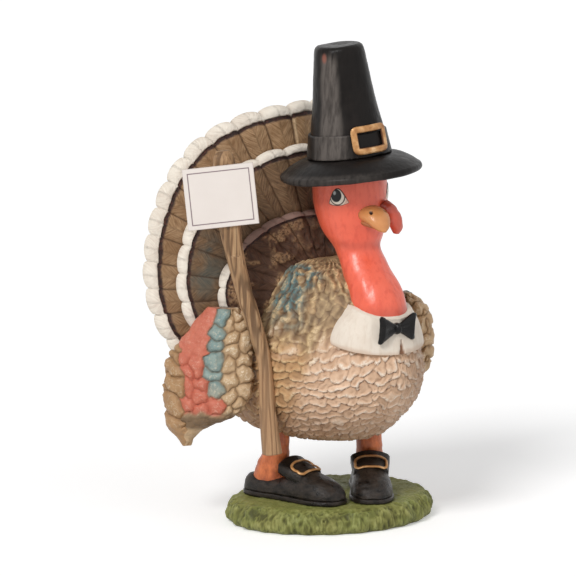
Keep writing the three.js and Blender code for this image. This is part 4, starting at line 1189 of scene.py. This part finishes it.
def from_oval(s, z, oval):
    """How far from an oval's middle each point is, as a share of the way to its edge."""
    return np.hypot((s - oval["s"]) / oval["half_width"], (z - oval["z"]) / oval["half_height"])


def make_eye(node, side):
    """A painted eye on a low mound. Its outline is given as seen with the beak at the right."""
    corners = np.array([*EYE_OUTLINE_SHARES, EYE_OUTLINE_SHARES[0]])
    place = shares(len(EYE_OUTLINE_SHARES))
    outline = [np.interp(shares(SIDES["eye"])[:-1], place, values) for values in corners.T]
    outline = softened(np.stack(outline, -1), EYE["soften"])
    outline = outline * [EYE["shown_half_width"], EYE["shown_half_height"]]
    front_t = shares(ROWS["eye"])[1:]
    back_t = shares(ROWS["eye_back"])[:0:-1]
    t = np.concatenate([front_t, back_t])[:, None]
    on_front = np.concatenate([np.ones(len(front_t)), np.zeros(len(back_t))])[:, None]
    s, z = outline[:, 0] * t, outline[:, 1] * t
    middle_z = HEAD_TOP - EYE["below"]
    skin = np.sqrt(head_radius(middle_z + z) ** 2 - s**2)
    lift = EYE["mound"] * np.sqrt(np.maximum(1 - t**2, 0)) + EYE["edge_proud"]
    out = skin + np.where(on_front > 0, lift, -EYE["back_sunk"])
    from_edge = (1 - t) * np.hypot(outline[:, 0], outline[:, 1])
    in_white = from_oval(s, z, WHITE)
    fields = dict(
        outline=fade("eye_outline", from_edge) * on_front,
        pupil=fade("pupil", from_oval(s, z, PUPIL)) * on_front,
        ring=fade("ring", np.abs(in_white - 1)) * on_front,
        corner=fade("corner", in_white) * on_front,
        # A painted highlight in the pupil
        painted_glint=fade("painted_glint", from_oval(s, z, PAINTED_GLINT)) * PAINTED_GLINT["strength"] * on_front,
    )
    turn = side * EYE["angle"]
    reach = HEAD["radius"] - EYE["sunk"]
    place = reach * heading(turn) + [0, 0, middle_z]
    points = grid(-side * s, reach - out, z)
    piece(node, "eye_gloss", in_head(turned(points, place, z=turn)), fields)


# The collar and the bow tie

def make_collar():
    share = shares(ROWS["collar"])[:, None]
    angle = turns(SIDES["collar"])
    half_width = lerp(COLLAR_FOOT["half_width"], COLLAR["top_radius"], share ** COLLAR["flare_power"])
    half_length = lerp(COLLAR_FOOT["half_length"], COLLAR["top_radius"], share)
    y = lerp(COLLAR_FOOT_Y, NECK_Y + COLLAR["setback"], share)
    foot_z = NECK_Z + COLLAR["rise"]
    z = foot_z + share * COLLAR["height"] + COLLAR["dip"] * np.sin(angle)
    points = oval(half_width, half_length, angle, z, y)
    below = clamp((foot_z - COLLAR["dip"] + NOTCH["height"] - z) / NOTCH["height"])
    notch = fade("notch", np.abs(points[..., 0]) - NOTCH["half_width"] * below)
    notch = notch * (np.sin(angle) < -0.5) * (below > 0)
    rise = lumps(points, "collar") + COLLAR["lip"] * fade("collar_lip", share) - NOTCH["depth"] * notch
    foot = COLLAR["foot_paint"] * fade("collar_paint", share + lumps(points, "collar_foot"))
    piece("collar", "collar_white", raised(points, rise), dict(gap=notch, foot=foot))


def in_bow(points):
    place = (BOW["x"], NECK_Y - BOW["reach"], NECK_Z + BOW["rise"])
    return turned(points, place, x=BOW["tilt"])


def make_bow():
    side = (2 * shares(ROWS["bow"]) - 1)[:, None]
    angle = turns(SIDES["bow"])
    size = table_at(BOW_SHARES, np.abs(side))
    past = np.maximum(np.abs(side) - BOW["blunt_from"], 0) / BOW["blunt"]
    blunt = np.sqrt(np.maximum(1 - past**2, 0))
    dent = 1 - BOW["dent"] * np.cos(angle) ** 2 * fade("bow_end", np.abs(side))
    x = BOW["half_span"] * side * dent
    y = BOW["half_depth"] * np.sqrt(size) * np.cos(angle) * lerp(BOW["thin_end"], 1, blunt)
    z = BOW["half_height"] * size * squared(np.sin(angle), SOFT_SQUARE) * lerp(BOW["low_end"], 1, blunt)
    fold = (z / size / FOLD["half_height"]) ** 2 + ((np.abs(x) - FOLD["x"]) / FOLD["half_width"]) ** 2
    points = grid(x, y, z)
    points = raised(points, lumps(points, "bow") - FOLD["depth"] * np.exp(-fold))
    piece("bow_tie", "bow_black", in_bow(points))
    polar = np.linspace(KNOT["open"], np.pi - KNOT["open"], ROWS["knot"])[:, None]
    ring = np.sin(polar)
    z = KNOT["half_height"] * np.cos(polar)
    points = oval(KNOT["half_width"] * ring, KNOT["half_depth"] * ring, angle, z)
    piece("bow_knot", "bow_black", in_bow(raised(points, lumps(points, "knot"))))


# The hat

def in_hat(points):
    place = (HAT["x"], HEAD_Y, HEAD_TOP + HAT["rise"])
    return turned(points, place, x=-HAT["back"], y=-HAT["lean"], z=HEAD["turn"])


def lathe(radius, z, sides):
    return oval(radius[:, None], radius[:, None], turns(sides), z[:, None])


def crown_radius(z):
    return CROWN["radius"] * table_at(CROWN_SHARES, z / CROWN["height"])


def facing_light(points):
    """How much each point faces away from the hat's axis towards the key light, whose highlight is painted
    on the hat.
    """
    level = points * [1, 1, 0]
    return level @ heading(HAT_MARKS["painted_sheen_turn"]) / np.linalg.norm(level, axis=-1)


def make_crown():
    z = shares(ROWS["crown"]) * CROWN["height"]
    top = shares(ROWS["crown_top"])[1:]
    radius = np.concatenate([crown_radius(z), crown_radius(z[-1]) * (1 - CROWN["closed"] * top)])
    z = np.concatenate([z, CROWN["height"] - CROWN["dish"] * fade("crown_top", top)])
    points = lathe(radius, z, SIDES["crown"])
    z = points[..., 2]
    # A painted highlight down the side of the crown that faces the key light
    painted_sheen = fade("painted_sheen", facing_light(points)) * fade("painted_sheen_foot", z) * fade("painted_sheen_top", z)
    spot = crown_radius(HAT_MARKS["worn_z"]) * heading(HAT_MARKS["worn_turn"])
    spot = spot + [0, 0, HAT_MARKS["worn_z"]]
    away = np.linalg.norm((points - spot) / [1, 1, HAT_MARKS["worn_tall"]], axis=-1)
    fields = dict(painted_sheen=painted_sheen, worn=HAT_MARKS["worn"] * fade("worn", away))
    piece("hat_crown", "hat_black", in_hat(raised(points, lumps(points, "crown"))), fields)


def make_brim():
    hole = BRIM["hole"] / BRIM["radius"]
    rows = [(hole, BRIM["under_share"]), *BRIM_SHARES[::-1], (hole, BRIM["over_share"])]
    radius, depth = curve_through(rows, ROWS["brim"]).T
    points = lathe(radius * BRIM["radius"], -depth * BRIM["depth"], SIDES["brim"])
    on_edge = fade("brim_edge", np.linalg.norm(points[..., :2], axis=-1))
    # A painted highlight along the brim's edge, on the side that faces the key light
    painted_sheen = HAT_MARKS["brim_painted_sheen"] * on_edge * fade("brim_painted_sheen", facing_light(points))
    points = raised(points, lumps(points, "brim"))
    ring_piece("hat_brim", "hat_black", in_hat(points), dict(painted_sheen=painted_sheen, worn=0))


def make_band():
    low, high = SEAT_GAP, BAND["height"]
    inner = crown_radius(np.array([low, high])) + SEAT_GAP
    outer = inner + BAND["thickness"]
    soft = BAND["thickness"] / 4
    radius = [inner[0], outer[0] - soft, outer[0], outer[1], outer[1] - soft, inner[1]]
    z = [low, low, low + soft, high - soft, high, high]
    share = shares(ROWS["band"])
    place = shares(len(z) - 1)
    points = lathe(np.interp(share, place, radius), np.interp(share, place, z), SIDES["crown"])
    # A painted highlight on the band, on the side that faces the key light
    painted_sheen = fade("band_painted_sheen", facing_light(points))
    points = raised(points, lumps(points, "band"))
    ring_piece("hat_band", "hat_black", in_hat(points), dict(painted_sheen=painted_sheen, worn=0))


# The buckles

def square_loop(half_width, half_height, corner, count):
    """A closed loop about its middle, whose corners are the squarer the smaller their number is."""
    angle = turns(count)
    return half_width * squared(np.cos(angle), corner), half_height * squared(np.sin(angle), corner)


def make_bar(node, path, outward, half_bar, half_thickness, dark, placed):
    """An oval bar that follows a closed path, and is darker on its inner side."""
    outward = outward / np.linalg.norm(outward, axis=-1, keepdims=True)
    across = np.cross(np.roll(path, -1, 0) - np.roll(path, 1, 0), outward)
    across /= np.linalg.norm(across, axis=-1, keepdims=True)
    inwards = (across * (path - path.mean(0))).sum(-1) < 0
    across = across * np.where(inwards, -1, 1)[:, None]
    angle = turns(SIDES["bar"])
    points = path[:, None] + half_bar * squared(np.cos(angle), SOFT_SQUARE)[:, None] * across[:, None]
    points = points + half_thickness * np.sin(angle)[:, None] * outward[:, None]
    ring_piece(node, "antique_gold", placed(points), dict(inner=dark * fade("bar_inside", np.cos(angle))))


def make_hat_buckle():
    half_bar = HAT_BUCKLE["bar"] / 2
    half_height = HAT_BUCKLE["height"] / 2
    half_thickness = HAT_BUCKLE["thickness"] / 2
    half_width = HAT_BUCKLE["width"] / 2
    x, z = square_loop(
        half_width - half_bar, half_height - half_bar, HAT_BUCKLE["corner"], SIDES["hat_buckle"],
    )
    z = z + HAT_BUCKLE["rise"] + half_height
    radius = crown_radius(z) + BAND["thickness"] + 2 * SEAT_GAP + half_thickness
    y = -np.sqrt(radius**2 - x**2)

    def placed(points):
        return in_hat(raised(points, lumps(points, "buckle")))

    path = grid(x, y, z)
    outward = path * [1, 1, 0]
    make_bar("hat_buckle", path, outward, half_bar, half_thickness, HAT_BUCKLE["dark"], placed)


# The stick and the card

def stick_points(share):
    foot_x = STICK["foot_inside"] - BODY["half_width"]
    head_x = -BODY["half_width"] - STICK["head_outside"]
    x = lerp(foot_x, head_x, table_at(STICK_X_SHARES, share))
    y = lerp(STICK["foot_y"], STICK["head_y"], table_at(STICK_Y_SHARES, share))
    return grid(x, y, lerp(STICK["bottom"], STICK["top"], share))


def card_place():
    card_share = (CARD["z"] - STICK["bottom"]) / (STICK["top"] - STICK["bottom"])
    return stick_points(card_share) + heading(CARD["turn"]) * STICK["radius"]


def make_stick():
    share = shares(ROWS["stick"])
    radius = STICK["radius"] * table_at(STICK_RADIUS_SHARES, share)
    points = tube(stick_points(share), radius, radius, SIDES["stick"])
    groove = 1 - fade("stick_groove", np.abs(lumps(points, "stick_groove")))
    points = raised(points, lumps(points, "stick") - STICK["groove_depth"] * groove)
    turn = turn_matrix(y=CARD["roll"], z=CARD["turn"])
    local = (points - card_place()) @ turn
    back = CARD["thickness"] / 2 + SEAT_GAP
    beside = np.abs(local[..., 2]) < CARD["height"]
    local[..., 1] = np.where(beside, np.maximum(local[..., 1], back), local[..., 1])
    points = local @ turn.T + card_place()
    low = fade("stick_low", points[..., 2])
    fields = dict(groove=groove * lerp(STICK["groove_dark"], STICK["low_groove_dark"], low), low=low)
    piece("sign_stick", "stick_wood", points, fields)


def make_card():
    half = np.array([CARD["width"], CARD["height"]]) / 2
    line = 2 * shares(SIDES["card"])[:-1] - 1
    full = np.ones_like(line)
    sides = [(line, -full), (full, line), (-line, full), (-full, -line)]
    loop = np.concatenate([np.stack(side, -1) for side in sides])
    front = [(share * CARD["face_share"], -0.5) for share in shares(ROWS["card"])[1:]]
    back = [(share * CARD["face_share"], 0.5) for share in shares(ROWS["card_back"])[:0:-1]]
    profile = np.array(front + [(1, -CARD["edge_share"]), (1, CARD["edge_share"])] + back)
    x, z = axes(loop * profile[:, :1, None] * half)
    depth = profile[:, 1:] * CARD["thickness"]
    fields = dict(
        inset=np.minimum(half[0] - np.abs(x), half[1] - np.abs(z)),
        face=(depth < 0) * 1.0,
    )
    points = turned(grid(x + CARD["shift"], depth, z), card_place(), y=CARD["roll"], z=CARD["turn"])
    piece("sign_card", "card_paper", points, fields)


# The legs and the shoes

def upper_top(x, y):
    """The height of the shoe's upper above its foot plane."""
    foot = SOLE["thickness"] + SEAT_GAP
    step = (SHOE["heel_reach"] - y) / (SHOE["heel_reach"] + SHOE["toe_reach"])
    half_width = SHOE["half_width"] * table_at(SHOE_WIDTH_SHARES, step)
    cos = clamp(np.abs(x) / half_width) ** (1 / SHOE["side_power"])
    rise = np.sqrt(1 - cos**2) ** SHOE["top_power"]
    return lerp(foot, SHOE["instep"] * table_at(SHOE_HEIGHT_SHARES, step), rise)


def tongue_half_width(share):
    return TONGUE["half_width"] * lerp(TONGUE["foot_share"], 1, share)


def tongue_top(x, y):
    share = clamp((y - TONGUE["foot_y"]) / (TONGUE["head_y"] - TONGUE["foot_y"]))
    foot_z = SHOE["instep"] + TONGUE["foot_rise"]
    crest = lerp(foot_z, TONGUE["head_z"], share ** TONGUE["rise_power"])
    return crest - TONGUE["arch"] * (x / tongue_half_width(share)) ** 2


def make_leg(name, placed):
    share = shares(ROWS["leg"])
    swell = table_at(ANKLE_SHARES, share)[:, None]
    half_width = lerp(LEG["radius"], ANKLE["half_width"], swell)
    half_length = lerp(LEG["radius"], ANKLE["half_length"], swell)
    z = lerp(LEG["bottom"], LEG["top"], share)[:, None] - BASE["height"]
    points = oval(half_width, half_length, turns(SIDES["leg"]), z, ANKLE["shift"] * swell)
    piece(f"{name}_leg", "leg_orange", placed(raised(points, lumps(points, "leg"))))


def make_sole(name, placed):
    step = eased(ROWS["sole"])
    half_width = SHOE["half_width"] * table_at(SHOE_WIDTH_SHARES, step) + SOLE["welt"]
    y = lerp(SHOE["heel_reach"], -SHOE["toe_reach"], step)
    outline = np.concatenate([np.stack([half_width, y], -1), np.stack([-half_width, y], -1)[::-1]])
    middle = np.array([0, (SHOE["heel_reach"] - SHOE["toe_reach"]) / 2])
    rings = []
    for size, share in SOLE_SHARES:
        x, y = (middle + (outline - middle) * [size, lerp(1, size, SOLE["end_share"])]).T
        rings.append(grid(x, y, lerp(SEAT_GAP, SOLE["thickness"], share)))
    piece(f"{name}_shoe_sole", "shoe_black", placed(np.stack(rings)))


def make_upper(name, placed):
    step = eased(ROWS["upper"])[:, None]
    angle = turns(SIDES["upper"])
    half_width = SHOE["half_width"] * table_at(SHOE_WIDTH_SHARES, step)
    x = half_width * squared(np.cos(angle), SHOE["side_power"])
    y = lerp(SHOE["heel_reach"], -SHOE["toe_reach"], step)
    top = SHOE["instep"] * table_at(SHOE_HEIGHT_SHARES, step)
    rise = np.maximum(np.sin(angle), 0) ** SHOE["top_power"]
    points = grid(x, y, lerp(SOLE["thickness"] + SEAT_GAP, top, rise))
    points = raised(points, lumps(points, "shoe") * (rise > SHOE["flat_share"]))
    piece(f"{name}_shoe_upper", "shoe_black", placed(points))


def make_tongue(name, placed):
    share = shares(ROWS["tongue"])[:, None]
    across = 2 * shares(ROWS["tongue"]) - 1
    x = tongue_half_width(share) * across
    y = np.broadcast_to(lerp(TONGUE["foot_y"], TONGUE["head_y"], share), x.shape)
    edge = fade("tongue_side", np.abs(across)) + fade("tongue_head", share)
    over = tongue_top(x, y) - TONGUE["edge_drop"] * edge
    under = over - lerp(TONGUE["thickness"], TONGUE["side_thickness"], np.abs(across) ** 3)
    points = np.concatenate([grid(x, y, over), grid(x, y, under)[:, ::-1]], 1)
    piece(f"{name}_shoe_tongue", "shoe_black", placed(points))


def make_shoe_buckle(name, placed):
    half_bar = SHOE_BUCKLE["bar"] / 2
    half_rise = SHOE_BUCKLE["rise"] / 2
    near_y, far_y = SHOE_BUCKLE["near_y"], SHOE_BUCKLE["far_y"]
    half_length = (near_y - far_y) / 2
    x, y = square_loop(
        SHOE_BUCKLE["half_width"] - half_bar, half_length - half_bar,
        SHOE_BUCKLE["corner"], SIDES["shoe_buckle"],
    )
    y = y + (near_y + far_y) / 2
    on_upper = np.maximum(upper_top(x, y), upper_top(0 * x, y) - TONGUE["arch"] / 2)
    ramp = smooth(far_y, TONGUE["foot_y"] + TONGUE["arch"], y)
    z = np.maximum(on_upper, lerp(on_upper, tongue_top(x, y), ramp)) + SEAT_GAP + half_rise
    path = grid(x, y, softened(z, SHOE_BUCKLE["soften"]))
    outward = grid(SHOE_BUCKLE["side_tilt"] * x / SHOE_BUCKLE["half_width"], -SHOE_BUCKLE["tilt"], 1)
    make_bar(f"{name}_shoe_buckle", path, outward, half_bar, half_rise, SHOE_BUCKLE["dark"], placed)


def make_foot(name, foot):
    def placed(points):
        return turned(points, (foot["x"], foot["y"], BASE["height"]), z=foot["turn"])

    for make in (make_leg, make_sole, make_upper, make_tongue, make_shoe_buckle):
        make(name, placed)


# Hidden rods, dowel and pegs keep the shape that the part gives them
def keep_nodes():
    ties = ["neck_dowel"]
    for side in FEET:
        ties += [f"{side}_{tie}" for tie in ("leg_rod", "tail_peg", "wing_peg")]
    for node in ties:
        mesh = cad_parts[node].data
        mesh.materials.clear()
        mesh.materials.append(PAINTS["steel"])


make_base()
make_body()
for wing in WINGS:
    make_wing(wing)
for index in range(len(TIERS)):
    make_tier(index)
make_head()
make_beak("upper_beak", BEAK, 1)
make_beak("lower_beak", LOWER_BEAK, 0)
make_snood()
make_eye("right_eye", -1)
make_eye("left_eye", 1)
make_collar()
make_bow()
make_crown()
make_brim()
make_band()
make_hat_buckle()
make_stick()
make_card()
for name, foot in FEET.items():
    make_foot(name, foot)
keep_nodes()


# Floor, light and camera

def seen_directly(tree):
    """1 for the camera and in reflections and glass, 0 for the light that falls on the object."""
    rays = tree.nodes.new("ShaderNodeLightPath")
    seen = rays.outputs["Is Camera Ray"]
    for name in ("Is Glossy Ray", "Is Transmission Ray"):
        either = tree.nodes.new("ShaderNodeMath")
        either.operation = "MAXIMUM"
        tree.links.new(seen, either.inputs[0])
        tree.links.new(rays.outputs[name], either.inputs[1])
        seen = either.outputs[0]
    return seen


def towards(azimuth, elevation):
    """The direction to a place that is seen this far round from the bird's front, and this high."""
    tilt = math.radians(elevation)
    return Vector(heading(azimuth)) * math.cos(tilt) + Vector((0, 0, math.sin(tilt)))


def make_stage():
    mesh = bpy.data.meshes.new("floor")
    corners = [(STAGE["reach"] * x, STAGE["reach"] * y, 0) for x, y in ((-1, -1), (1, -1), (1, 1), (-1, 1))]
    mesh.from_pydata(corners, [], [(0, 1, 2, 3)])
    floor = bpy.data.objects.new("floor", mesh)
    floor.location.z = -STAGE["drop"] * MM
    bpy.context.scene.collection.objects.link(floor)
    paint = Paint("floor_white", STAGE["lumps"], "f8f8f8", "fbfbfb")
    glow = paint.times(seen_directly(paint.tree), STAGE["glow"])
    mesh.materials.append(paint.done(STAGE["rough"], Emission_Color=(1, 1, 1, 1), Emission_Strength=glow))


def make_sun(name, strength, angle, azimuth, elevation):
    lamp = bpy.data.lights.new(name, "SUN")
    lamp.energy = strength
    lamp.angle = math.radians(angle)
    sun = bpy.data.objects.new(name, lamp)
    sun.rotation_euler = towards(azimuth, elevation).to_track_quat("Z", "Y").to_euler()
    bpy.context.scene.collection.objects.link(sun)


def make_world():
    world = bpy.data.worlds.new("studio")
    world.use_nodes = True
    bpy.context.scene.world = world
    tree = world.node_tree
    background = tree.nodes["Background"]
    background.inputs["Color"].default_value = (1, 1, 1, 1)
    strength = tree.nodes.new("ShaderNodeMapRange")
    tree.links.new(seen_directly(tree), strength.inputs[0])
    strength.inputs[3].default_value = STAGE["ambient"]
    strength.inputs[4].default_value = 1
    tree.links.new(strength.outputs[0], background.inputs["Strength"])


def make_camera():
    turn = math.radians(VIEW["azimuth"])
    right = Vector((math.cos(turn), math.sin(turn), 0))
    back = towards(VIEW["azimuth"], VIEW["elevation"])
    up = back.cross(right)
    lens = bpy.data.cameras.new("camera")
    lens.lens = VIEW["lens"]
    lens.clip_end = VIEW["clip_end"]
    camera = bpy.data.objects.new("camera", lens)
    camera.location = (right * VIEW["right"] + up * VIEW["up"] + back * VIEW["distance"]) * MM
    camera.rotation_euler = (-back).to_track_quat("-Z", "Y").to_euler()
    bpy.context.scene.collection.objects.link(camera)
    bpy.context.scene.camera = camera


make_stage()
make_world()
for lamp in SUNS:
    make_sun(**lamp)
make_camera()
bpy.context.scene.view_settings.view_transform = "Standard"
